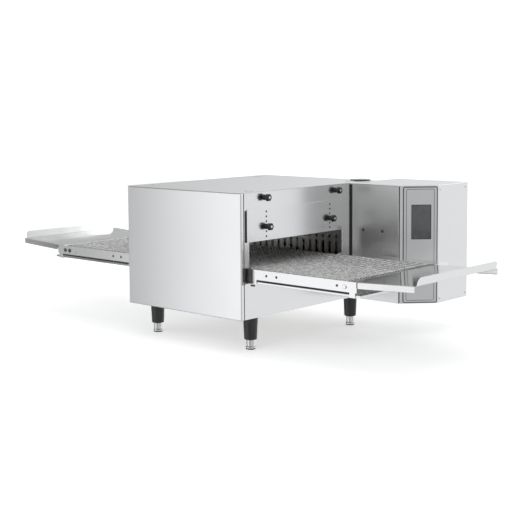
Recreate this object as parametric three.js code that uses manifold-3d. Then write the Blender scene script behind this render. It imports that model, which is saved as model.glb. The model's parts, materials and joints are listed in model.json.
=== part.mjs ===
// Countertop conveyor pizza oven. Millimetres, +Z up.
// X runs along the conveyor, with the control box at +X. -Y is the front. Z = 0 is where the feet stand.
// While it is built, x = 0 is the middle of the cabinet and y = 0 is the front cover's face. At the end the
// whole oven moves back so that the origin is under the middle of its outer box.
import * as THREE from 'three';
import { mergeVertices } from 'three/addons/utils/BufferGeometryUtils.js';
import Module from 'manifold-3d';

const wasm = await Module();
wasm.setup();

// Driving dimensions
const CABINET = { width: 497, depth: 665, height: 380 };
const LEG_HEIGHT = 102; // floor to the underside of the cabinet
const SHEET = 1.5; // stainless sheet of the outer covers
const GAP = 0.3; // clearance between pieces that touch
const CONVEYOR = { halfLength: 650, front: 30, back: 454, railTop: 255, railHeight: 30 };
const BELT = { halfLength: 628, front: 36, back: 448, top: 257, wrap: 18, thickness: 4 };
const TRAY = { inner: 656, outer: 841, innerTop: 254.5, rise: 8.5, flange: 16.5, lipReach: 7, lipRise: 24 };
const CONTROL_BOX = { front: 531, back: 798, frontWidth: 190, chamfer: 89, drop: 1 };
const TUNNEL = { front: 36, back: 489, top: 342, rowsTop: 257 };
const RAIL_PASS = { front: 18, back: 462, low: 210 }; // the lower part of the end opening, for the rails
const BAFFLE = { front: 25, back: 505, bottom: 333, top: 432 };

// Levels and planes that several pieces share
const BOTTOM = LEG_HEIGHT;
const TOP = LEG_HEIGHT + CABINET.height;
const END = CABINET.width / 2;
const BACK = CABINET.depth;
const COVER_DEPTH = 12;
const BOX_RIGHT = END + GAP + CONTROL_BOX.frontWidth + CONTROL_BOX.chamfer;
const BOX_TOP = TOP - CONTROL_BOX.drop;
const AXLE_X = BELT.halfLength - BELT.wrap;
const AXLE_Z = BELT.top - BELT.wrap;
const GLAND_REACH = 16;

const oven = new THREE.Group();

// ---- Materials ----

const FINISHES = {
  stainless: { color: 0xc9cbcd, metalness: 0.9, roughness: 0.32 },
  galvanised: { color: 0x9ea2a6, metalness: 0.8, roughness: 0.5 },
  darkSteel: { color: 0x55585c, metalness: 0.8, roughness: 0.5 },
  wire: { color: 0xa9a9a6, metalness: 0.8, roughness: 0.45 },
  blackPlastic: { color: 0x161616, metalness: 0, roughness: 0.4 },
  glass: { color: 0x3c4043, metalness: 0, roughness: 0.12 },
  board: { color: 0x2c5b3a, metalness: 0, roughness: 0.6 },
  wool: { color: 0xd8cfae, metalness: 0, roughness: 0.95 },
};

function piece(name, finish, geometry) {
  const material = new THREE.MeshStandardMaterial({ ...FINISHES[finish], flatShading: true });
  const mesh = new THREE.Mesh(geometry, material);
  mesh.name = name;
  oven.add(mesh);
  return mesh;
}

// ---- Shapes ----

function box(x0, x1, y0, y1, z0, z1) {
  const shape = new THREE.BoxGeometry(x1 - x0, y1 - y0, z1 - z0);
  return shape.translate((x0 + x1) / 2, (y0 + y1) / 2, (z0 + z1) / 2);
}

// An outline extruded along an axis. Its points are (y, z) along x, (x, z) along y and (x, y) along z.
function prism(axis, from, to, points, holes = []) {
  const shape = new THREE.Shape(points.map(([a, b]) => new THREE.Vector2(a, b)));
  for (const hole of holes) shape.holes.push(new THREE.Path(hole.map(([a, b]) => new THREE.Vector2(a, b))));
  const solid = new THREE.ExtrudeGeometry(shape, { depth: to - from, bevelEnabled: false, steps: 1 });
  if (axis === 'z') return solid.translate(0, 0, from);
  const turn = new THREE.Matrix4();
  const [X, Y, Z] = [new THREE.Vector3(1, 0, 0), new THREE.Vector3(0, 1, 0), new THREE.Vector3(0, 0, 1)];
  if (axis === 'x') return solid.applyMatrix4(turn.makeBasis(Y, Z, X)).translate(from, 0, 0);
  return solid.applyMatrix4(turn.makeBasis(X, Z, Y.clone().negate())).translate(0, to, 0);
}

function circle(radius, sides, at = [0, 0], phase = 0) {
  return Array.from({ length: sides }, (_, i) => {
    const angle = phase + (i * 2 * Math.PI) / sides;
    return [at[0] + radius * Math.cos(angle), at[1] + radius * Math.sin(angle)];
  });
}

// A round bar along an axis through the point [a, b] of the plane across it, in the order that prism uses.
function rod(axis, from, to, at, radius, sides = 16) {
  return prism(axis, from, to, circle(radius, sides, at));
}

// A turned shape about an axis. The profile is [radius, distance along the axis], and it starts and ends on
// the axis.
function turned(axis, at, profile, sides = 20) {
  const solid = new THREE.LatheGeometry(profile.map(([r, d]) => new THREE.Vector2(r, d)), sides);
  if (axis === 'z') solid.rotateX(Math.PI / 2);
  if (axis === 'x') solid.rotateZ(-Math.PI / 2);
  return solid.translate(...at);
}

function toManifold(geometry) {
  const bare = geometry.clone();
  bare.deleteAttribute('normal');
  bare.deleteAttribute('uv');
  const merged = mergeVertices(bare, 1e-4);
  return new wasm.Manifold(new wasm.Mesh({
    numProp: 3,
    vertProperties: new Float32Array(merged.attributes.position.array),
    triVerts: new Uint32Array(merged.index.array),
  }));
}

function toGeometry(manifold) {
  const mesh = manifold.getMesh();
  const geometry = new THREE.BufferGeometry();
  geometry.setAttribute('position', new THREE.BufferAttribute(new Float32Array(mesh.vertProperties), 3));
  geometry.setIndex(new THREE.BufferAttribute(new Uint32Array(mesh.triVerts), 1));
  return geometry;
}

function join(...shapes) {
  return toGeometry(shapes.map(toManifold).reduce((all, next) => all.add(next)));
}

function cut(base, ...tools) {
  return toGeometry(tools.map(toManifold).reduce((rest, tool) => rest.subtract(tool), toManifold(base)));
}

// Mirrored across the middle of the cabinet, with the triangles turned so that the faces still point out.
function mirroredX(geometry) {
  const copy = mergeVertices(geometry.clone().deleteAttribute('normal').deleteAttribute('uv'), 1e-4);
  copy.scale(-1, 1, 1);
  const index = copy.index.array;
  for (let i = 0; i < index.length; i += 3) [index[i], index[i + 1]] = [index[i + 1], index[i]];
  return copy;
}

// The same piece at both ends of the oven: the right one as given, the left one mirrored.
function bothEnds(name, finish, geometry) {
  piece(`right_${name}`, finish, geometry);
  piece(`left_${name}`, finish, mirroredX(geometry));
}

// ---- Cabinet ----

// The legs stand a little off the middle, towards the control box that hangs on the right end.
const LEG_X = [-198, 213];
const LEG_Y = [78, 574];

function frontCover() {
  const edge = { low: BOTTOM - 1.5, high: TOP - SHEET - GAP };
  const pan = box(-END, END, 0, COVER_DEPTH, edge.low, edge.high);
  const recess = box(-END + SHEET, END - SHEET, SHEET, COVER_DEPTH + 1, edge.low + SHEET, edge.high - SHEET);
  piece('front_cover', 'stainless', cut(pan, recess));
  const room = SHEET + GAP;
  piece('front_insulation', 'wool',
    box(-END + room, END - room, room, COVER_DEPTH, edge.low + room, edge.high - room));
}

function plates() {
  piece('top_cover', 'stainless', box(-END, END, 0, BACK, TOP - SHEET, TOP));
  const inside = END - SHEET - GAP;
  piece('bottom_plate', 'stainless',
    box(-inside, inside, COVER_DEPTH + GAP, BACK - SHEET - GAP, BOTTOM, BOTTOM + SHEET));
  const louvre = { count: 6, halfWidth: 70, height: 6, pitch: 16, low: 245 };
  const louvres = Array.from({ length: louvre.count }, (_, i) => {
    const low = louvre.low + i * louvre.pitch;
    return box(-louvre.halfWidth, louvre.halfWidth, BACK - 5, BACK + 5, low, low + louvre.height);
  });
  const sheet = box(-END, END, BACK - SHEET, BACK, BOTTOM, TOP - SHEET - GAP);
  piece('back_panel', 'stainless', cut(sheet, ...louvres));
}

// Thumbscrews: the lower pair on each end rides on the baffle, the upper pair stays on the end panel.
const SCREW = { shank: 3, low: { y: [111, 418], z: 375 }, high: { y: [105, 450], z: 463 } };
const BAFFLE_TRAVEL = { down: 45, up: 15 };

function endPanels() {
  const outline = box(END - SHEET, END, COVER_DEPTH + GAP, BACK - SHEET - GAP, BOTTOM, TOP - SHEET - GAP);
  const through = [END - SHEET - 1, END + 1];
  const mouth = box(...through, TUNNEL.front, TUNNEL.back, TUNNEL.rowsTop, TUNNEL.top);
  const railPass = box(...through, RAIL_PASS.front, RAIL_PASS.back, RAIL_PASS.low, TUNNEL.rowsTop + 0.1);
  const slotHalf = SCREW.shank + 0.8;
  const slotTop = SCREW.low.z + BAFFLE_TRAVEL.up + slotHalf;
  const slots = SCREW.low.y.map((y) => box(...through, y - slotHalf, y + slotHalf, TUNNEL.top - 5, slotTop));
  const bores = SCREW.high.y.map((y) => rod('x', ...through, [y, SCREW.high.z], slotHalf, 12));
  bothEnds('end_panel', 'stainless', cut(outline, mouth, railPass, ...slots, ...bores));
}

function baffles() {
  const face = { in: END + 0.5, out: END + 2 };
  const plate = box(face.in, face.out, BAFFLE.front, BAFFLE.back, BAFFLE.bottom, BAFFLE.top);
  const hole = { radius: 2.6, pitch: 15, below: 2, above: 3 };
  const holes = [];
  for (const y of SCREW.low.y) {
    for (let step = -hole.below; step <= hole.above; step += 1) {
      const radius = step === 0 ? SCREW.shank + GAP : hole.radius;
      holes.push(rod('x', face.in - 1, face.out + 1, [y, SCREW.low.z + step * hole.pitch], radius, 8));
    }
  }
  bothEnds('baffle', 'stainless', cut(plate, ...holes));
}

function thumbscrews() {
  const seat = END + 2.3; // the baffle's face, with the clearance
  const knob = [[0, -6], [SCREW.shank, -6], [SCREW.shank, 0], [8, 0], [5, 3.5], [5, 9],
    [12, 11], [12, 18.5], [9.5, 21.5], [0, 21.5]];
  for (const [level, { y: places, z }, back] of [['lower', SCREW.low, 0], ['upper', SCREW.high, 2]]) {
    places.forEach((y, i) => {
      const name = `${level}_${i === 0 ? 'front' : 'rear'}_thumbscrew`;
      bothEnds(name, 'blackPlastic', turned('x', [seat - back, y, z], knob, 10));
    });
  }
}

const CHAMBER = { half: 246.4, front: 26, back: 586, low: 128, high: 456, wall: 1.2, divider: 503 };
const FAN = { x: 0, z: 291, radius: 85 };
const HEATER = { tube: 4, ring: 104, y: 548, leadX: 24 };

function chamber() {
  const { half, front, back, low, high, wall, divider } = CHAMBER;
  const outer = [[front, low], [back, low], [back, high], [front, high]];
  const inner = [[front + wall, low + wall], [back - wall, low + wall], [back - wall, high - wall],
    [front + wall, high - wall]];
  const tube = prism('x', -half, half, outer, [inner]);
  const shaftBore = rod('y', back - 5, back + 5, [FAN.x, FAN.z], 7, 12);
  const leadBores = [-1, 1].map((side) => rod(
    'y', back - 5, back + 5, [side * HEATER.leadX, FAN.z - HEATER.ring], HEATER.tube + 1, 12));
  piece('chamber_shell', 'galvanised', cut(tube, shaftBore, ...leadBores));

  const slot = { pitch: 28, perSide: 8, halfWidth: 5, tall: [228, 288], short: [298, 308] };
  const openings = [];
  for (let i = 0; i < slot.perSide; i += 1) {
    for (const side of [-1, 1]) {
      const x = side * (slot.pitch / 2 + i * slot.pitch);
      for (const [z0, z1] of [slot.tall, slot.short]) {
        openings.push(box(x - slot.halfWidth, x + slot.halfWidth, divider - 1, divider + 5, z0, z1));
      }
    }
  }
  const duct = { half: 205, inset: 8 };
  for (const [z0, z1] of [[PLENUM.upper.low, PLENUM.upper.high], [PLENUM.lower.low, PLENUM.lower.high]]) {
    openings.push(box(-duct.half, duct.half, divider - 1, divider + 5, z0 + duct.inset, z1 - duct.inset));
  }
  const sides = wall + GAP;
  const plate = box(-half, half, divider, divider + wall, low + sides, high - sides);
  piece('chamber_rear_wall', 'galvanised', cut(plate, ...openings));
}

// Two air boxes, open at the rear towards the fan, that blow on the belt through rows of round jets.
const PLENUM = {
  half: 225, front: 40, back: 502, wall: 1.2,
  upper: { low: 345, high: 454 }, lower: { low: 130, high: 200 },
};

function jetPlenums() {
  const { half, front, back, wall } = PLENUM;
  const jet = { radius: 10, columns: 4, rows: 4, pitchX: 100, pitchY: 105, firstY: 113 };
  for (const [name, level] of [['upper', PLENUM.upper], ['lower', PLENUM.lower]]) {
    const shell = box(-half, half, front, back, level.low, level.high);
    const room = { half: half - wall, low: level.low + wall, high: level.high - wall };
    const inside = box(-room.half, room.half, front + wall, back + 1, room.low, room.high);
    const face = name === 'upper' ? level.low : level.high;
    const jets = [];
    for (let column = 0; column < jet.columns; column += 1) {
      for (let row = 0; row < jet.rows; row += 1) {
        const at = [(column - (jet.columns - 1) / 2) * jet.pitchX, jet.firstY + row * jet.pitchY];
        jets.push(rod('z', face - 4, face + 4, at, jet.radius, 8));
      }
    }
    piece(`${name}_jet_plenum`, 'galvanised', cut(shell, inside, ...jets));
  }
}

function heatingElement() {
  const { ring, y, leadX, tube } = HEATER;
  const start = Math.asin(leadX / ring);
  const steps = 24;
  const lead = (side) => [604, 575].map((y) => new THREE.Vector3(FAN.x + side * leadX, y, FAN.z - ring));
  const points = lead(1);
  for (let i = 0; i <= steps; i += 1) {
    const angle = start + ((2 * Math.PI - 2 * start) * i) / steps;
    points.push(new THREE.Vector3(FAN.x + ring * Math.sin(angle), y, FAN.z - ring * Math.cos(angle)));
  }
  points.push(...lead(-1).reverse());
  const path = new THREE.CatmullRomCurve3(points, false, 'centripetal');
  const section = new THREE.Shape(circle(tube, 6).map(([a, b]) => new THREE.Vector2(a, b)));
  piece('heating_element', 'darkSteel',
    new THREE.ExtrudeGeometry(section, { steps: 44, extrudePath: path, bevelEnabled: false }));
}

function circulationFan() {
  const at = [FAN.x, FAN.z];
  const wheel = { front: 527, plate: 563, back: 565, bladeInner: 42, blades: 10, bladeThickness: 1.6 };
  const parts = [rod('y', wheel.plate, wheel.back, at, FAN.radius, 28), rod('y', 540, 575, at, 14, 16),
    rod('y', 574, 606, at, 5, 12)];
  for (let i = 0; i < wheel.blades; i += 1) {
    const blade = box(wheel.bladeInner, FAN.radius - 1, wheel.front, wheel.plate + 1,
      -wheel.bladeThickness / 2, wheel.bladeThickness / 2);
    blade.translate(-FAN.radius, 0, 0).rotateY(0.5).translate(FAN.radius, 0, 0);
    parts.push(blade.rotateY((i * 2 * Math.PI) / wheel.blades).translate(FAN.x, 0, FAN.z));
  }
  piece('circulation_fan', 'galvanised', join(...parts));

  const body = { front: 588, back: 652, radius: 46, flange: 62 };
  const motor = join(rod('y', body.front, body.front + 4, at, body.flange, 20),
    rod('y', body.front + 3, body.back, at, body.radius, 20));
  piece('fan_motor', 'darkSteel', cut(motor, rod('y', body.front - 2, 612, at, 5.6, 12)));
}

// ---- Legs and feet ----

function legsAndFeet() {
  const leg = { top: LEG_HEIGHT - GAP, bottom: 31, topRadius: 25.5, bottomRadius: 20.3, round: 3 };
  const socket = { radius: 5.6, depth: 34 };
  const foot = { radius: 15, waist: 13.2, top: 30.6, stud: 5.2 };
  const legProfile = [[0, leg.bottom], [leg.bottomRadius - leg.round, leg.bottom],
    [leg.bottomRadius, leg.bottom + leg.round], [leg.topRadius, leg.top], [0, leg.top]];
  const footProfile = [[0, 0], [foot.radius - 2, 0], [foot.radius, 3], [foot.radius, 9], [foot.waist, 12],
    [foot.waist, foot.top], [foot.stud, foot.top], [foot.stud, 60], [0, 60]];
  const sides = [['left', LEG_X[0]], ['right', LEG_X[1]]];
  const rows = [['front', LEG_Y[0]], ['rear', LEG_Y[1]]];
  for (const [row, y] of rows) {
    for (const [side, x] of sides) {
      const bore = rod('z', leg.bottom - 1, leg.bottom + socket.depth, [x, y], socket.radius, 12);
      piece(`${row}_${side}_leg`, 'blackPlastic', cut(turned('z', [x, y, 0], legProfile, 16), bore));
      piece(`${row}_${side}_foot`, 'stainless', turned('z', [x, y, 0], footProfile, 12));
    }
  }
}

function topCap() {
  const cap = { x: 213, y: 629.5, radius: 35, height: 4.6, round: 2 };
  const profile = [[0, 0], [cap.radius, 0], [cap.radius, cap.height - cap.round],
    [cap.radius - cap.round, cap.height], [0, cap.height]];
  piece('top_vent_cap', 'blackPlastic', turned('z', [cap.x, cap.y, TOP + GAP], profile, 24));
}

// ---- Conveyor ----

const RAIL = { web: 2, flange: 10, pinX: 642, pinZ: 245, pinRadius: 3 };
const HANGER = { width: 20, ledge: 14, low: 210.5, thickness: 1.7, inner: 262, outer: 626 };
const CROSS_BAR = { x: 320, z: 239, radius: 5 };

function rails() {
  const { halfLength: half, front, back, railTop, railHeight } = CONVEYOR;
  const low = railTop - railHeight;
  const axleBore = 6.6;
  const screwBore = 3.4;
  for (const [name, outer, inward] of [['front', front, 1], ['rear', back, -1]]) {
    const span = (a, b) => [outer + inward * a, outer + inward * b].sort((p, q) => p - q);
    const web = box(-half, half, ...span(0, RAIL.web), low, railTop);
    const flangeHalf = AXLE_X - BELT.wrap; // it stops short of the belt's turn
    const flange = box(-flangeHalf, flangeHalf, ...span(0, RAIL.web + RAIL.flange), low, low + RAIL.web);
    const parts = [web, flange];
    for (const side of [-1, 1]) {
      for (const start of [HANGER.inner, HANGER.outer]) {
        const [x0, x1] = [side * start, side * (start + HANGER.width)].sort((p, q) => p - q);
        parts.push(box(x0, x1, ...span(0, HANGER.thickness), HANGER.low, low + 1));
        parts.push(box(x0, x1, ...span(0, HANGER.ledge), HANGER.low, HANGER.low + HANGER.thickness));
      }
      parts.push(rod('y', ...span(1, 7), [side * RAIL.pinX, RAIL.pinZ], RAIL.pinRadius, 12));
    }
    const through = span(-4, 3);
    const axleBores = [-1, 1].map((side) => rod('y', ...through, [side * AXLE_X, AXLE_Z], axleBore, 16));
    const tension = rod('y', ...through, [-AXLE_X + 23, AXLE_Z], screwBore, 10);
    piece(`${name}_rail`, 'stainless', cut(join(...parts), ...axleBores, tension));

    const plate = { left: -half, right: -half + 96, low: low + 2, high: railTop - 2, thick: 1.5 };
    const face = box(plate.left, plate.right, ...span(-GAP - plate.thick, -GAP), plate.low, plate.high);
    piece(`${name}_tension_bracket`, 'stainless', cut(face, axleBores[0], tension));
  }
  const inside = RAIL.web + GAP;
  for (const [name, side] of [['left', -1], ['right', 1]]) {
    piece(`${name}_cross_bar`, 'galvanised',
      rod('y', front + inside, back - inside, [side * CROSS_BAR.x, CROSS_BAR.z], CROSS_BAR.radius, 12));
  }
}

// A closed band around two wheels at x0 and x1, as an outline with its inner edge.
function bandOutlines(x0, x1, z, outerRadius, thickness, segments) {
  const loop = (radius) => {
    const points = [];
    for (let i = 0; i <= segments; i += 1) {
      const angle = -Math.PI / 2 + (i * Math.PI) / segments;
      points.push([x1 + radius * Math.cos(angle), z + radius * Math.sin(angle)]);
    }
    for (let i = 0; i <= segments; i += 1) {
      const angle = Math.PI / 2 + (i * Math.PI) / segments;
      points.push([x0 + radius * Math.cos(angle), z + radius * Math.sin(angle)]);
    }
    return points;
  };
  return [loop(outerRadius), loop(outerRadius - thickness)];
}

function toothedOutline({ root, tip, teeth }, at) {
  const points = [];
  const part = (2 * Math.PI) / teeth;
  for (let i = 0; i < teeth; i += 1) {
    for (const [radius, share] of [[root, 0], [root, 0.3], [tip, 0.5], [tip, 0.8]]) {
      const angle = (i + share) * part;
      points.push([at[0] + radius * Math.cos(angle), at[1] + radius * Math.sin(angle)]);
    }
  }
  return points;
}

const AXLE = { radius: 6, clearance: 0.3 };
const SPROCKET = { tip: BELT.wrap - BELT.thickness - 0.5, root: 11.5, width: 12, teeth: 8, inset: 70 };
const CHAIN = {
  tip: 9.5, root: 7.6, teeth: 9, front: 470, back: 474, motorX: 400, outer: 12.2, thickness: 2.4,
};

function belt() {
  const [outer, inner] = bandOutlines(-AXLE_X, AXLE_X, AXLE_Z, BELT.wrap, BELT.thickness, 12);
  piece('wire_belt', 'wire', prism('y', BELT.front, BELT.back, outer, [inner]));
}

function drive() {
  const at = [AXLE_X, AXLE_Z];
  const shaft = rod('y', CONVEYOR.front - 3, CHAIN.back + 4, at, AXLE.radius, 16);
  const chainWheel = prism('y', CHAIN.front, CHAIN.back, toothedOutline(CHAIN, at));
  piece('drive_shaft', 'galvanised', join(shaft, chainWheel));
  const { inset, width } = SPROCKET;
  for (const [name, y] of [['front', BELT.front + inset], ['rear', BELT.back - inset - width]]) {
    const wheel = prism('y', y, y + width, toothedOutline(SPROCKET, at));
    piece(`${name}_drive_sprocket`, 'darkSteel',
      cut(wheel, rod('y', y - 1, y + width + 1, at, AXLE.radius + AXLE.clearance, 16)));
  }
  const idlerAt = [-AXLE_X, AXLE_Z];
  piece('idler_roller', 'galvanised', join(
    rod('y', CONVEYOR.front - 3, CONVEYOR.back + 3, idlerAt, AXLE.radius, 16),
    rod('y', BELT.front + 8, BELT.back - 8, idlerAt, SPROCKET.tip, 20)));
}

function chainDrive() {
  const motorAt = [CHAIN.motorX, AXLE_Z];
  const output = { radius: 4, end: 552 };
  const wheel = prism('y', CHAIN.front, CHAIN.back, toothedOutline(CHAIN, motorAt));
  const outputShaft = rod('y', CHAIN.back - 1, output.end, motorAt, output.radius, 12);
  piece('motor_sprocket', 'darkSteel', join(wheel, outputShaft));
  const [outer, inner] = bandOutlines(CHAIN.motorX, AXLE_X, AXLE_Z, CHAIN.outer, CHAIN.thickness, 8);
  piece('drive_chain', 'darkSteel', prism('y', CHAIN.front - 0.5, CHAIN.back + 0.5, outer, [inner]));

  const room = {
    left: CHAIN.motorX - 18, right: AXLE_X + 17, low: AXLE_Z - 15, high: AXLE_Z + 14.5, wall: 1.2,
  };
  const span = { front: CONVEYOR.back + GAP, back: 526 };
  const hollow = box(room.left + room.wall, room.right - room.wall, span.front - 1, span.back - room.wall,
    room.low + room.wall, room.high - room.wall);
  const cover = box(room.left, room.right, span.front, span.back, room.low, room.high);
  piece('chain_guard', 'stainless', cut(cover, hollow,
    rod('y', span.back - 5, span.back + 5, motorAt, output.radius + 3, 12)));

  const gearbox = { half: 30, front: CONTROL_BOX.front + SHEET + 0.5, depth: 42 };
  const can = { radius: 27, length: 80 };
  const back = gearbox.front + gearbox.depth;
  const motor = join(
    box(CHAIN.motorX - gearbox.half, CHAIN.motorX + gearbox.half, gearbox.front, back,
      AXLE_Z - gearbox.half, AXLE_Z + gearbox.half),
    rod('y', back - 1, back + can.length, motorAt, can.radius, 16));
  const shaftBore = rod('y', gearbox.front - 1, output.end + 4, motorAt, output.radius + 0.6, 12);
  piece('gear_motor', 'darkSteel', cut(motor, shaftBore));
}

function crumbTrays() {
  const tray = {
    inner: END + 3, outer: 664, low: HANGER.low + HANGER.thickness + GAP, high: 218.5, wall: 1.2,
  };
  const side = HANGER.thickness + GAP;
  const [front, back] = [CONVEYOR.front + side, CONVEYOR.back - side];
  const block = box(tray.inner, tray.outer, front, back, tray.low, tray.high);
  const well = box(tray.inner + tray.wall, tray.outer - tray.wall, front + tray.wall, back - tray.wall,
    tray.low + tray.wall, tray.high + 1);
  bothEnds('crumb_tray', 'stainless', cut(block, well));
}

const LIP_END = { inset: 9, corner: 14 };

// The waste outside a rounded top corner, as an outline in the (y, z) plane.
function roundedAway(end, inward, top, radius) {
  const steps = 6;
  const arc = Array.from({ length: steps + 1 }, (_, i) => {
    const angle = (i * Math.PI) / 2 / steps;
    return [end + inward * radius * (1 - Math.sin(angle)), top - radius * (1 - Math.cos(angle))];
  });
  const outside = end - inward;
  const outline = [[end + inward * radius, top + 1], ...arc, [outside, top - radius], [outside, top + 1]];
  return inward > 0 ? outline : outline.reverse();
}

// The exit tray: a flat plate that rises a little outwards, turned down along both sides, with a lip at its
// outer end. A tongue reaches in between the rails to the belt, and two ears hold the pins it tilts on.
function exitTrays() {
  const wall = 1.2;
  const { inner, outer, innerTop, lipReach, lipRise, flange, rise } = TRAY;
  const outerTop = innerTop + rise;
  const { front, back } = CONVEYOR;
  const plate = prism('y', front, back, [[inner, innerTop - wall], [outer, outerTop - wall],
    [outer, outerTop], [inner, innerTop]]);
  const tongue = { inner: BELT.halfLength + 4, side: RAIL.web + 1.2, drop: 1 };
  const tonguePlate = prism('y', front + tongue.side, back - tongue.side,
    [[tongue.inner, innerTop - wall - tongue.drop], [inner + 1, innerTop - wall], [inner + 1, innerTop],
      [tongue.inner, innerTop - tongue.drop]]);
  const flangeOutline = [[inner, innerTop - flange], [outer, outerTop - flange], [outer, outerTop - 0.2],
    [inner, innerTop - 0.2]];
  const flanges = [[front, front + wall], [back - wall, back]].map(([y0, y1]) => (
    prism('y', y0, y1, flangeOutline)));
  const foldBack = 6;
  const lipTop = outerTop + lipRise;
  const lipEnds = [front + LIP_END.inset, back - LIP_END.inset];
  const lip = prism('y', ...lipEnds, [[outer - wall, outerTop - wall], [outer, outerTop - wall],
    [outer + lipReach - 1, lipTop - 2], [outer + lipReach, lipTop - foldBack], [outer + lipReach, lipTop],
    [outer + lipReach - 2, lipTop]]);
  const lipCorners = [[lipEnds[0], 1], [lipEnds[1], -1]].map(([end, inward]) => prism(
    'x', outer - 5, outer + lipReach + 5, roundedAway(end, inward, lipTop, LIP_END.corner)));
  const { pinX, pinZ, pinRadius } = RAIL;
  const ear = { y: [3, 4.5], end: 704 };
  const earOutline = [[pinX, pinZ - 7], [ear.end, pinZ], [ear.end, innerTop], [inner, innerTop - 0.3],
    [pinX + 7, pinZ + 6], [pinX - 2, pinZ + 7], [pinX - 7, pinZ + 2], [pinX - 6, pinZ - 4]];
  const ears = [ear.y.map((d) => front + d), ear.y.map((d) => back - d).reverse()].map(([y0, y1]) => (
    prism('y', y0, y1, earOutline)));
  const pinBores = [[front + 2.5, front + 6], [back - 6, back - 2.5]].map(([y0, y1]) => (
    rod('y', y0, y1, [pinX, pinZ], pinRadius + 0.5, 16)));
  bothEnds('exit_tray', 'stainless',
    cut(join(plate, tonguePlate, ...flanges, lip, ...ears), ...pinBores, ...lipCorners));
}

// ---- Control box ----

const BOX_LEFT = END + GAP;
const CORNER = { x: BOX_LEFT + CONTROL_BOX.frontWidth, y: CONTROL_BOX.front + CONTROL_BOX.chamfer };

// The box's outline in plan, moved inwards by a distance.
function boxPlan(inset) {
  const cut45 = inset * Math.tan(Math.PI / 8);
  return [[BOX_LEFT + inset, CONTROL_BOX.front + inset], [CORNER.x - cut45, CONTROL_BOX.front + inset],
    [BOX_RIGHT - inset, CORNER.y + cut45], [BOX_RIGHT - inset, CONTROL_BOX.back - inset],
    [BOX_LEFT + inset, CONTROL_BOX.back - inset]];
}

// A block on the chamfered face: along is measured across the face from its front edge, out is its distance
// in front of the face.
function onChamfer(along, out, z) {
  const block = box(along[0], along[1], -out[1], -out[0], z[0], z[1]);
  return block.rotateZ(Math.PI / 4).translate(CORNER.x, CONTROL_BOX.front, 0);
}

const DISPLAY = { along: [40.5, 104.5], z: [309, 420], behind: 4 };
const COOLING = { x: 400, z: 400, half: 40, hole: 37, front: 768, back: 796 };

function controlBox() {
  const motorBore = rod('y', CONTROL_BOX.front - 3, CONTROL_BOX.front + 5, [CHAIN.motorX, AXLE_Z], 7, 12);
  const displayGrown = (by) => [DISPLAY.along, DISPLAY.z].map(([a, b]) => [a - by, b + by]);
  const [windowAlong, windowZ] = displayGrown(1);
  const window = onChamfer(windowAlong, [-9, 5], windowZ);
  const grille = { bars: 7, halfWidth: 32, pitch: 10, height: 5 };
  const throughBack = [CONTROL_BOX.back - 5, CONTROL_BOX.back + 5];
  const vents = Array.from({ length: grille.bars }, (_, i) => {
    const low = COOLING.z + (i - (grille.bars - 1) / 2) * grille.pitch - grille.height / 2;
    return box(COOLING.x - grille.halfWidth, COOLING.x + grille.halfWidth, ...throughBack,
      low, low + grille.height);
  });
  const glandBore = rod('y', ...throughBack, [GLAND.x, GLAND.z], GLAND.bore, 12);
  const wireBore = rod('x', BOX_LEFT - 5, BOX_LEFT + 5, [700, 180], 14, 12);
  const tub = cut(prism('z', BOTTOM, BOX_TOP - SHEET - GAP, boxPlan(0)),
    prism('z', BOTTOM + SHEET, BOX_TOP + 5, boxPlan(SHEET)));
  piece('control_box_shell', 'stainless', cut(tub, motorBore, window, glandBore, wireBore, ...vents));
  piece('control_box_lid', 'stainless', prism('z', BOX_TOP - SHEET, BOX_TOP, boxPlan(0)));

  const plate = { along: [15, 124.5], out: [GAP, GAP + 1.6], z: [BOTTOM + 3, BOX_TOP - 3] };
  const [plateAlong, plateZ] = displayGrown(-1);
  const plateWindow = onChamfer(plateAlong, [-1, 5], plateZ);
  piece('control_panel_plate', 'stainless', cut(onChamfer(plate.along, plate.out, plate.z), plateWindow));
  piece('display_screen', 'glass', onChamfer(DISPLAY.along, [-DISPLAY.behind, 0], DISPLAY.z));
}

const GLAND = { x: 300, z: 150, bore: 8.5, thread: 8 };

function gland() {
  const face = CONTROL_BOX.back + GAP;
  const at = [GLAND.x, GLAND.z];
  const tip = CONTROL_BOX.back + GLAND_REACH;
  const nut = prism('y', face, face + 6, circle(13, 6, at));
  const dome = rod('y', face + 5, tip, at, 10, 16);
  const thread = rod('y', CONTROL_BOX.back - 8, face + 1, at, GLAND.thread, 12);
  const bore = rod('y', CONTROL_BOX.back - 10, tip + 1, at, 5, 12);
  piece('power_gland', 'blackPlastic', cut(join(nut, dome, thread), bore));
}

function electronics() {
  const left = BOX_LEFT + SHEET + 6;
  const board = box(left, left + 1.6, 600, 740, 250, 430);
  const blocks = [[640, 680, 380, 420, 32], [690, 725, 380, 415, 24], [615, 650, 290, 330, 20],
    [665, 730, 275, 300, 14]].map(([y0, y1, z0, z1, tall]) => box(left + 1, left + tall, y0, y1, z0, z1));
  piece('control_board', 'board', join(board, ...blocks));
}

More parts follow.
